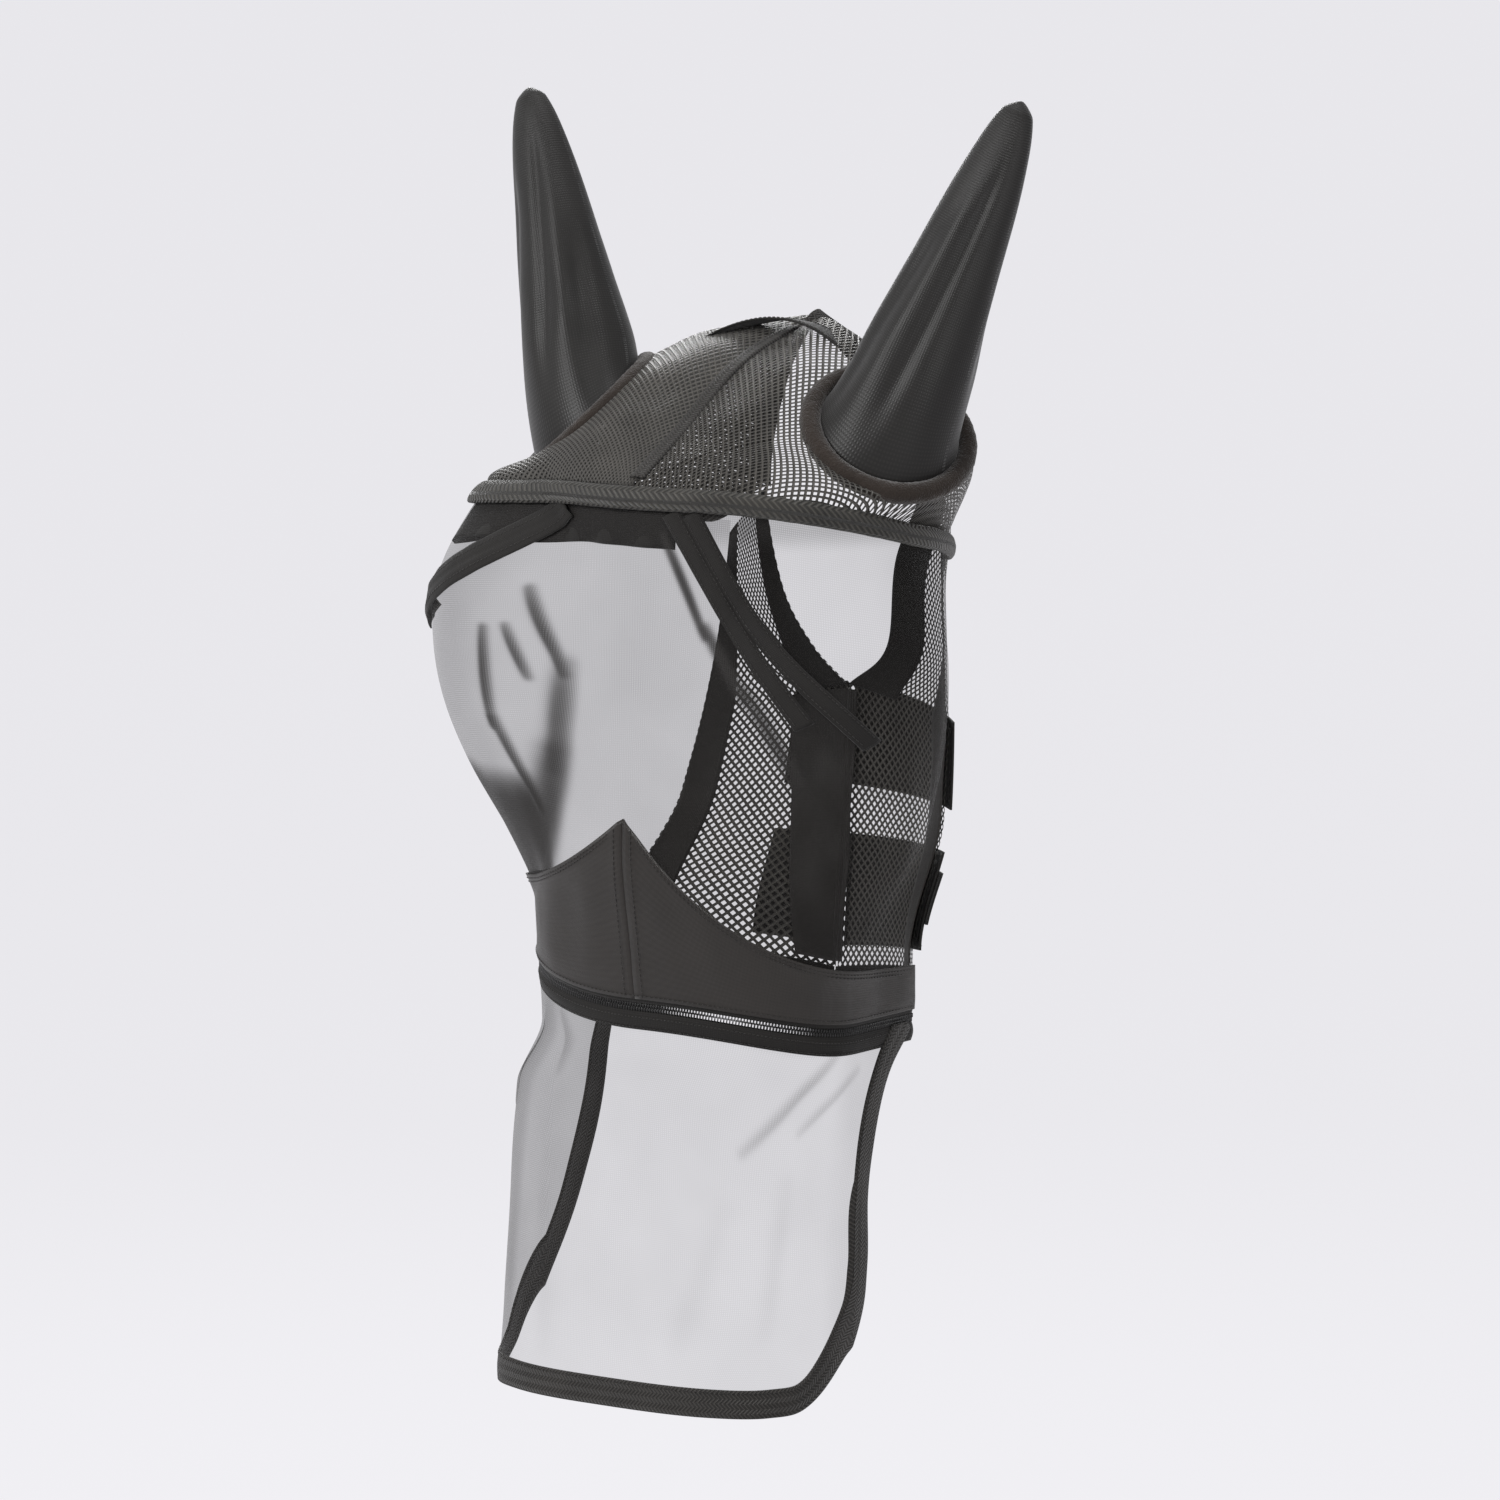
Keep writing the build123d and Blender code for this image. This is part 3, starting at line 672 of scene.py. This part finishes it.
def blocks(name, places, half, look, nodes=(), body="mask"):
    """Many small bevelled blocks, one for each (point, along, out), in one piece."""
    points, faces, uvs = [], [], []
    corners = [(x, y, z) for x in (-1, 1) for y in (-1, 1) for z in (-1, 1)]
    sides = [(0, 1, 3, 2), (4, 6, 7, 5), (0, 4, 5, 1), (2, 3, 7, 6), (0, 2, 6, 4), (1, 5, 7, 3)]
    for middle, run, out in places:
        across = out.cross(run).normalized()
        base = len(points)
        for x, y, z in corners:
            narrow = 0.72 if z > 0 else 1.0
            level = run * (x * half[0] * narrow) + across * (y * half[1] * narrow)
            points.append(middle + level + out * (z * half[2]))
            uvs.append(((x * half[0] + middle.z) * MM, y * half[1] * MM))
        faces += [tuple(base + k for k in side) for side in sides]
    return make_piece(name, points, faces, uvs, look, body, nodes)


def spaced(path, pitch):
    """(point, direction) at even steps along a list of points."""
    found, left = [], pitch / 2
    for a, b in zip(path, path[1:]):
        length = (b - a).length
        while left <= length and length > 0:
            found.append((a + (b - a) * (left / length), (b - a).normalized()))
            left += pitch
        left -= length
    return found


STITCHES = {}


def stitch(path, body="mask", pitch=STITCH_PITCH):
    """Adds a row of stitches; they are made together once every row is known."""
    rows = STITCHES.setdefault(body, [])
    for point, run in spaced(path, pitch):
        out = outward(point) if point.z < -90 else crown_out(point)
        out = (out - run * out.dot(run)).normalized()
        rows.append((point, run, out))


# ---------------------------------------------------------------- face, brow and noseband
def side_layers(w, z):
    """How much the fine mesh is gathered, which darkens it beside the right eye."""
    edge = ramp((-0.24 - w) / 0.06) * ramp((w + 0.60) / 0.12) * ramp((-262 - z) / 30)
    uneven = 1.0 + 0.8 * noise.noise(Vector((w * 14, z / 60, 1.7)))
    silhouette = 0.9 * math.exp(-((w + 0.42) / 0.10) ** 2)
    top = 1.6 * ramp((z + 128) / 16)
    left = 0.5 * ramp((w - 0.55) / 0.2)
    return max(0.0, 14.0 * edge * uneven) + silhouette + top + left


def face_z(w, v):
    drop, rate = NOSEBAND_FALL[1 if w >= 0 else -1]
    low = NOSEBAND_PEAK_Z - 6 - drop * (1 - math.exp(-math.hypot(w, 0.05) / rate))
    return (brow_under(w) + 3) * (1 - v) + low * v


def face_point(w, v, offset):
    z = face_z(w, v)
    middle = min(1, 6 * v) * min(1, 6 * (1 - v))
    return skin_point(w, z, offset + middle * (fold(w, z)[0] * 0.9 - 1.2 + ripple(w, z, 30, 2.0)))


def face_gather(w, v):
    z = face_z(w, v)
    return side_layers(w, z) + fold(w, z)[1]


def roll_ring(w):
    end = ramp((1 - abs(w)) / 0.03) ** 0.5 * 0.97 + 0.03
    ring = []
    for k in range(20):
        turn = 2 * math.pi * k / 20
        high = ROLL_HALF_HEIGHT * math.sin(turn) * end
        out = ROLL_HALF_THICK * math.cos(turn) * end
        pucker = 0.5 * noise.noise(Vector((w * 30, high / 6, out / 4)))
        ring.append(skin_point(w, brow_z(w) + high * (1 + pucker * 0.08), ROLL_OFFSET + out + pucker))
    return ring


def make_face():
    cloth("face_cloth", face_point, steps(-1, 1, 400), steps(0, 1, 140), "fine_mesh", ["face_mesh"],
          gather=face_gather)
    tube("brow_roll_cloth", [roll_ring(w) for w in steps(-1, 1, 240)], "padded_roll",
                   ["brow_roll"], closed=False)

    def facing(w, v, offset):
        z = brow_under(w) + 2 - (24 + 5 * math.sin(w * 19) * abs(w)) * v
        return skin_point(w, z, offset + 1.2 * math.sin(w * 60) * v * v)

    cloth("brow_facing_cloth", facing, steps(-0.70, 0.10, 100), steps(0, 1, 8), "tape", ["brow_facing"],
          low=-1.8, high=-1.0)
    for word, start, end in (("right", -1, 0.0), ("left", 0.0, 1)):

        def band(w, v, offset):
            z = noseband_top(w) * (1 - v) + (zip_z(w) + 5) * v
            x = w * SIDE_LENGTH
            centre = 1.6 * math.exp(-((x / 5) ** 2)) - 1.6 * math.exp(-((x / 1.2) ** 2))
            soft = ripple(w, z, 26, 1.6) * min(1, 4 * v) * min(1, 4 * (1 - v))
            return skin_point(w, z, offset + soft + centre * (1 - v))

        cloth(f"noseband_cloth_{word}", band, steps(start, end, 120), steps(0, 1, 36), "satin",
              [f"noseband_{word}"], low=1.1, high=2.3)
        row = steps(start * 0.99, end * 0.99, 80)
        for drop in (2.4, 4.6):
            stitch([skin_point(w, noseband_top(w) - drop, 2.5) for w in row])
        stitch([skin_point(w, zip_z(w) + 7.2, 2.5) for w in row])
        side = 1 if end > 0.5 else -1
        stitch([skin_point(side * 0.016, z, 3.6) for z in steps(-294, -398, 40)])


def make_eye_darts():
    for name, ((w0, z0), (w1, z1), width, rows) in EYE_DARTS.items():
        run = Vector(((w1 - w0) * SIDE_LENGTH, z1 - z0)).normalized()

        def tape(u, v, offset):
            bow = (-6.5 if name.endswith("outer_tape") else -1.0) * math.sin(math.pi * u)
            x = width * v + bow
            w = w0 + (w1 - w0) * u - run.y * x / SIDE_LENGTH
            crown = 1.5 * (1 - 4 * v * v) + 0.5 * noise.noise(Vector((u * 14, v * 3, width)))
            groove = -0.8 * math.exp(-((v / 0.09) ** 2)) if width > 12 else 0.0
            return skin_point(w, z0 + (z1 - z0) * u + run.x * x, offset + crown + groove)

        cloth(f"{name}_cloth", tape, steps(0, 1, 60), steps(-0.5, 0.5, 12), "tape", [name],
              low=1.0, high=2.0)
        for v in rows:
            stitch([tape(u, v, 2.15) for u in steps(0.02, 0.98, 60)])


# ---------------------------------------------------------------- crown and ears
def ear_rise(side):
    """From the middle of an ear's rim to its tip."""
    x, y, z = (tip - middle for tip, middle in zip(EAR_TIP, EAR_CENTRE))
    return Vector((side * x, y, z))


def ear_ring_point(side, turn, share, offset):
    """A point of an ear sleeve, round it by turn and up it by share."""
    centre, normal, _ = ear_frame(side)
    rise = ear_rise(side)
    lift = rise.normalized()
    across = Vector((0, 1, 0)).cross(lift).normalized()
    deep = lift.cross(across)
    rows = [(-100 * s, w, d) for s, w, d in EAR_SECTIONS]
    wide, thick = monotone(rows, 100 * share)
    cap = math.sqrt(max(0.0, 1 - max(0.0, (share - 0.965) / 0.035) ** 2))
    crease = 0.0
    for at, width, height, start, end in EAR_CREASES[side]:
        away = math.remainder(turn - at - 0.5 * (share - 0.4), 2 * math.pi) / width
        crease += height * math.exp(-away * away) * ramp((share - start) / 0.2) * ramp((end - share) / 0.2)
    soft = 1.0 * noise.noise(Vector((math.cos(turn) * 1.5, math.sin(turn) * 1.5, share * 4 + side)))
    grow = offset + (crease + soft) * min(1.0, wide / 30)
    x = max(0.05, (wide + grow) * cap) * math.cos(turn)
    y = max(0.05, (thick + grow) * cap) * math.sin(turn)
    free = centre + lift * (rise.length * share) + across * x + deep * y
    away = across * math.cos(turn) + deep * math.sin(turn)
    away = (away - normal * away.dot(normal)).normalized()
    sewn = centre + away * (EAR_RIM_RADIUS - 3 + offset) + normal * (share * 60)
    return sewn.lerp(free, ramp((share + 0.03) / 0.24))


def make_ears():
    for side, word in ((1, "left"), (-1, "right")):
        centre, normal, level = ear_frame(side)
        rise = normal.cross(level)
        rings = []
        for i in range(200):
            turn = 2 * math.pi * i / 200
            away = level * math.cos(turn) + rise * math.sin(turn)
            ring = []
            for k in range(28):
                around = 2 * math.pi * k / 28
                way = away * math.cos(around) + normal * math.sin(around)
                fluff = 0.45 * noise.noise(way * 3 + away * 26) + 0.25 * noise.noise(way * 9 + away * 80)
                ring.append(centre + away * EAR_RIM_RADIUS + way * (EAR_RIM_THICK + 1.0 + fluff))
            rings.append(ring)
        rim = tube(f"ear_rim_fleece_{word}", rings, "fleece", [f"ear_rim_{word}"], closed=True)

        def sleeve(turn, share, offset, side=side):
            return ear_ring_point(side, turn, share, offset)

        shares = steps(-0.03, 0.96, 70) + steps(0.965, 0.9995, 8)
        cloth(f"ear_sleeve_cloth_{word}", sleeve, steps(0, 2 * math.pi, 96), shares, "lycra",
              [f"ear_sleeve_{word}"], body=("mask", f"ear_{word}"), low=-0.9, high=-0.1, ring=True,
              bend=(centre, centre + ear_rise(side).normalized() * EAR_BEND))
        seam = [sleeve(1.9, share, 0.15) for share in steps(0.3, 0.93, 120)]
        stitch(seam, body=f"ear_{word}", pitch=3.0)


def make_crown():
    for side, word in ((1, "left"), (-1, "right")):

        def panel(f, r, offset, side=side):
            return crown_point(side, f, r, offset)

        # the right half has two surfaces and smaller holes, so it looks denser
        look, high = ("air_mesh", None) if side > 0 else ("crown_mesh", 2.0)
        cloth(f"crown_cloth_{word}", panel, steps(0, 1, 220), steps(0, 1, 30), look,
              [f"crown_mesh_{word}"], low=0.9, high=high, ring=True, uv=crown_uv)

    def seam(u, v, offset):
        p = along(CENTRE_SEAM, u) + Vector((v * 5, 0, 0))
        return p + Vector((0, -0.35, 0.94)) * (offset + 1.0 - v * v)

    cloth("crown_seam_cloth", seam, steps(0.10, 0.985, 60), steps(-1, 1, 8), "webbing",
          ["crown_seam_tape"], low=2.0, high=3.0)

    def poll_edge(w, v, offset):
        side = 1 if w >= 0 else -1
        edge = neck_point(side, NECK_CROWN_END * abs(w))
        inner = rim_point(side, edge, EAR_RIM_RADIUS)
        step = (inner - edge).normalized()
        level = Vector((0, -1, -0.3)).normalized()
        step = (level * (1 - abs(w)) + step * abs(w)).normalized()
        round_off = 2.2 * (1 - (1.8 * v - 0.65) ** 2)
        return edge + step * v * 15 + crown_out(edge) * (offset + round_off)

    cloth("poll_binding_cloth", poll_edge, steps(-1, 1, 110), steps(-0.2, 0.9, 10), "webbing",
          ["poll_edge_binding"], low=2.2, high=4.6)

    def poll_tape(w, v, offset):
        x = 62 * w
        y = -26 - 10 * w * w + v * 10
        return Vector((x, y, -8 - 22 * w * w - v + offset))

    cloth("poll_tape_cloth", poll_tape, steps(-1, 1, 60), steps(-1, 1, 8), "tape", ["poll_tape"],
          low=8.4, high=9.6)
    for v in (-0.8, 0.8):
        stitch([poll_tape(w, v, 9.9) for w in steps(-0.98, 0.98, 60)])


# ---------------------------------------------------------------- jowls, throat and straps
def jowl_share(z):
    return (JOWL_TOP_Z - z) / JOWL_HEIGHT


def make_jowls():
    for side, word in ((1, "left"), (-1, "right")):

        def panel(u, v, offset, side=side):
            return jowl_point(side, u, v, offset + 1.5 * noise.noise(Vector((u * 4, v * 6, side))))

        cloth(f"jowl_cloth_{word}", panel, steps(0.0, 1, 60), steps(0, 1, 90), "air_mesh",
              [f"jowl_mesh_{word}"], low=1.1)
        cloth(f"cheek_band_cloth_{word}", panel, steps(0, CHEEK_BAND_SHARE, 8), steps(0, 0.97, 60), "flap",
              [f"cheek_band_{word}"], low=-1.4, high=-0.6)
        inner, upper = steps(NECK_FACING_START[side], 1, 10), steps(0.0, JOWL_SPLIT, 40)
        cloth(f"neck_facing_cloth_{word}", panel, inner, upper, "tape", [f"neck_facing_{word}"],
              low=-1.2, high=-0.4)
        hem = steps(JOWL_HEM_START, 1, 4)
        cloth(f"jowl_hem_cloth_{word}", panel, steps(0.02, 1, 40), hem, "tape", [f"jowl_hem_{word}"],
              low=-1.2, high=-0.4)
        stitch([panel(u, 0.952, 2.2) for u in steps(0.03, 0.98, 60)])

    def flap(w, v, offset):
        side = 1 if w >= 0 else -1
        u = 1 - abs(w) * (FLAP_TOP[side] - FLAP_NARROWS[side] * v)
        wave = 2.2 * noise.noise(Vector((w * 2.3, v * 5, 0.4))) + 1.2 * math.sin(v * 17 + w * 3) * v * (1 - v)
        p = jowl_point(side, u, 0.425 + 0.51 * v, offset - 1.0 + min(0.5, wave - 1.0))
        return Vector((p.x - side * 0.5 * u, p.y, p.z))

    cloth("throat_flap_cloth", flap, steps(-1, 1, 90), steps(0, 1, 60), "flap", ["throat_flap"],
          low=-1.4, high=-0.6)


def make_closure():
    for level, (top, bottom) in STRAP_BANDS.items():
        low, high = jowl_share(top), jowl_share(bottom)

        def left(u, v, offset, low=low, high=high):
            return jowl_point(1, u, low + (high - low) * v, offset)

        def right(u, v, offset, low=low, high=high):
            return jowl_point(-1, u, low + (high - low) * v, offset)

        body = f"strap_{level}"
        inset = steps(0.1, 0.9, 16)
        cloth(f"loop_pad_cloth_{level}", left, steps(0.20, 0.66, 30), inset, "hook_and_loop",
              [f"loop_pad_{level}"], low=2.5, high=3.3)
        cloth(f"hook_patch_cloth_{level}", left, steps(0.06, 0.60, 30), inset, "hook_and_loop",
              [f"hook_patch_{level}"], body=body, low=3.7, high=4.6)
        cloth(f"strap_cloth_{level}", left, steps(0.02, 0.985, 60), steps(0, 1, 20), "tape",
              [f"closure_strap_{level}"], body=body, low=4.8, high=6.0)
        cloth(f"strap_base_cloth_{level}", right, steps(0.60, 0.99, 30), steps(0, 1, 20), "tape",
              [f"strap_base_{level}"], low=2.5, high=3.9)
        for v in (0.05, 0.95):
            stitch([left(u, v, 6.2) for u in steps(0.03, 0.98, 60)], body=body)
            stitch([right(u, v, 4.1) for u in steps(0.61, 0.98, 40)])
        for u in (0.62, 0.96):
            stitch([left(u, v, 6.2) for v in steps(0.06, 0.94, 20)], body=body)
            stitch([right(u, v, 4.1) for v in steps(0.06, 0.94, 20)])
    low, high = (jowl_share(z) for z in STRAP_BANDS["lower"])

    def tab(u, v, offset):
        return jowl_point(1, u, low + (high - low) * v, offset + 0.3 * math.cos(u * 300))

    cloth("grip_tab_cloth", tab, steps(-0.04, 0.10, 40), steps(0.2, 0.72, 20), "hook_and_loop",
          ["strap_grip_tab"], body="strap_lower", low=6.4, high=7.6)


# ---------------------------------------------------------------- zip
def make_zip():
    for word, sign, body in (("upper", 1, "mask"), ("lower", -1, "nose_piece")):

        def tape(w, v, offset, sign=sign):
            rise = 1.2 * math.sin(math.pi * v)
            return skin_point(w, zip_z(w) + sign * (2.2 + 12.1 * v), offset + rise)

        cloth(f"zip_tape_cloth_{word}", tape, steps(-1, 1, 160), steps(0, 1, 10), "tape",
              [f"zip_tape_{word}"], body=body, low=-0.4, high=0.4)
        for v in (0.35, 0.9):
            stitch([tape(w, v, 0.5) for w in steps(-0.99, 0.99, 120)], body=body, pitch=2.6)
        line = [skin_point(w, zip_z(w), 0.0) for w in steps(-1, 1, 300)]
        teeth = []
        for point, run in spaced(line, TOOTH_PITCH):
            shift = run * (TOOTH_PITCH / 4 * sign)
            out = outward(point)
            up = out.cross(run).normalized()
            up = up if up.z > 0 else -up
            teeth.append((point + shift + up * (sign * 1.15), run, out))
        blocks(f"zip_teeth_{word}_row", teeth, TOOTH_HALF, "zip_teeth", [f"zip_teeth_{word}"], body)
    for name in ("zip_slider", "zip_puller"):
        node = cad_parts[name]
        bevel = node.modifiers.new("edges", "BEVEL")
        bevel.width = 0.0002
        bevel.segments = 2
        node.data.materials.clear()
        node.data.materials.append(LOOKS["zip_metal"])


# ---------------------------------------------------------------- nose piece
def nose_edge(w, depth):
    """Flat x and z of a point that lies depth inside the nose piece's free edge."""
    side = 1 if w >= 0 else -1
    path = [(x, z, 0) for x, z in NOSE_REAR[side]]
    f = 1 - abs(w)
    p = along(path, f)
    run = (along(path, min(f + 0.01, 1)) - along(path, max(f - 0.01, 0))).normalized()
    p += Vector((run.y, -run.x, 0)) * depth
    return side * max(p.x, 0), p.y


def nose_reach(z, samples):
    """How far from the centre line the edge runs at a height, from points along it."""
    corner = next(k for k in range(len(samples)) if samples[k][1] > samples[0][1] + 0.5)
    if z <= samples[corner][1]:
        return abs(samples[corner][0])
    for (x1, z1), (x0, z0) in zip(samples[corner:], samples[corner + 1:]):
        if z <= z0:
            return abs(x1 + (x0 - x1) * (z - z1) / (z0 - z1))
    return abs(samples[-1][0])


def make_nose_piece():
    lap = BINDING_WIDTH - BINDING_LAP
    hem_top = HEM_Z + lap
    inside = {side: [nose_edge(side * k / 60, lap) for k in range(61)] for side in (1, -1)}

    def place(w, v):
        side = 1 if w >= 0 else -1
        level = (zip_z(side) - 6) * (1 - v) + hem_top * v
        x = w * nose_reach(level, inside[side]) / SIDE_LENGTH
        return x, (zip_z(w) - 6) * (1 - v) + hem_top * v

    def mesh(w, v, offset):
        x, z = place(w, v)
        middle = min(1, 7 * v) * min(1, 7 * (1 - v)) * min(1, 8 * (1 - abs(w)))
        return skin_point(x, z, offset + middle * (fold(x, z)[0] - 1.0 + ripple(x, z, 34, 2.4)))

    def gather(w, v):
        x, z = place(w, v)
        top = 0.9 * ramp((0.05 - v) / 0.05)
        far = 1.0 * ramp((-0.27 - x) / 0.06) + 0.4 * ramp((x - 0.62) / 0.1)
        return fold(x, z)[1] + top + far

    cloth("nose_cloth", mesh, steps(-1, 1, 220), steps(0, 1, 120), "fine_mesh", ["nose_mesh"],
          body="nose_piece", low=1.2, gather=gather)

    def binding(w, v, offset):
        x, z = nose_edge(w, BINDING_WIDTH * v)
        z = min(z, zip_z(x / SIDE_LENGTH) - 1.6)
        full = 0.6 * (1 - (2 * v - 1) ** 2) + 0.9 * noise.noise(Vector((w * 9, v, 2)))
        return skin_point(x / SIDE_LENGTH, z, offset + full)

    cloth("nose_binding_cloth", binding, steps(-1, 1, 420), steps(0.0, 1, 10), "webbing",
          ["nose_binding"], body="nose_piece", low=0.4, high=2.0)
    stitch([binding(w, 0.90, 2.2) for w in steps(-0.995, 0.995, 300)], body="nose_piece")


# ---------------------------------------------------------------- studio
def make_studio():
    scene = bpy.context.scene
    azimuth, elevation = math.radians(35), math.radians(7.4)
    distance, width_seen = 4.5, 0.915
    target = Vector((0, -0.062, -0.260))
    toward = Vector((
        math.sin(azimuth) * math.cos(elevation),
        -math.cos(azimuth) * math.cos(elevation),
        math.sin(elevation),
    ))
    camera = bpy.data.objects.new("camera", bpy.data.cameras.new("camera"))
    camera.location = target + toward * distance
    camera.rotation_euler = toward.to_track_quat("Z", "Y").to_euler()
    camera.data.sensor_width = 36
    camera.data.lens = camera.data.sensor_width * distance / width_seen
    camera.data.clip_end = 400
    bpy.context.collection.objects.link(camera)
    scene.camera = camera
    scene.view_settings.view_transform = "Standard"

    world = bpy.data.worlds.new("studio")
    world.use_nodes = True
    world.node_tree.nodes["Background"].inputs[0].default_value = (0.93, 0.93, 0.96, 1)
    world.node_tree.nodes["Background"].inputs[1].default_value = 0.45
    scene.world = world

    # place, size and power of each light
    lights = {
        "key": ((-0.9, -2.4, 1.1), 0.7, 60),
        "front": ((2.3, -1.4, 0.5), 0.6, 22),
        "top": ((0.2, -0.3, 2.2), 1.0, 26),
        "rear": ((-1.6, 1.8, 0.9), 0.9, 24),
    }
    for name, (place, size, power) in lights.items():
        data = bpy.data.lights.new(name, "AREA")
        data.size = size
        data.energy = power
        lamp = bpy.data.objects.new(name, data)
        lamp.location = place
        lamp.rotation_euler = (Vector(place) - target).to_track_quat("Z", "Y").to_euler()
        bpy.context.collection.objects.link(lamp)

    mesh = bpy.data.meshes.new("floor")
    reach, low = 150.0, -1.1
    corners = [(-reach, -reach, low), (reach, -reach, low), (reach, reach, low), (-reach, reach, low)]
    mesh.from_pydata(corners, [], [(0, 1, 2, 3)])
    floor = bpy.data.objects.new("floor", mesh)
    bpy.context.collection.objects.link(floor)
    look = Look("floor")
    shader = look.tree.nodes.new("ShaderNodeBsdfPrincipled")
    shader.inputs["Base Color"].default_value = (0.10, 0.10, 0.10, 1)
    shader.inputs["Roughness"].default_value = 0.9
    shader.inputs["Specular IOR Level"].default_value = 0.0
    shader.inputs["Emission Color"].default_value = (0.97, 0.96, 1.0, 1)
    shader.inputs["Emission Strength"].default_value = 0.79
    look.put(look.output.inputs["Surface"], shader.outputs[0])
    mesh.materials.append(look.material)
    floor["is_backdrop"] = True


make_studio()
make_face()
make_eye_darts()
make_crown()
make_ears()
make_jowls()
make_closure()
make_zip()
make_nose_piece()
for owner, rows in STITCHES.items():
    blocks(f"stitches_{owner}", rows, STITCH_HALF, "thread", body=owner)

[[list(corner) for corner in box] for box in (cad_box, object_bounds())]
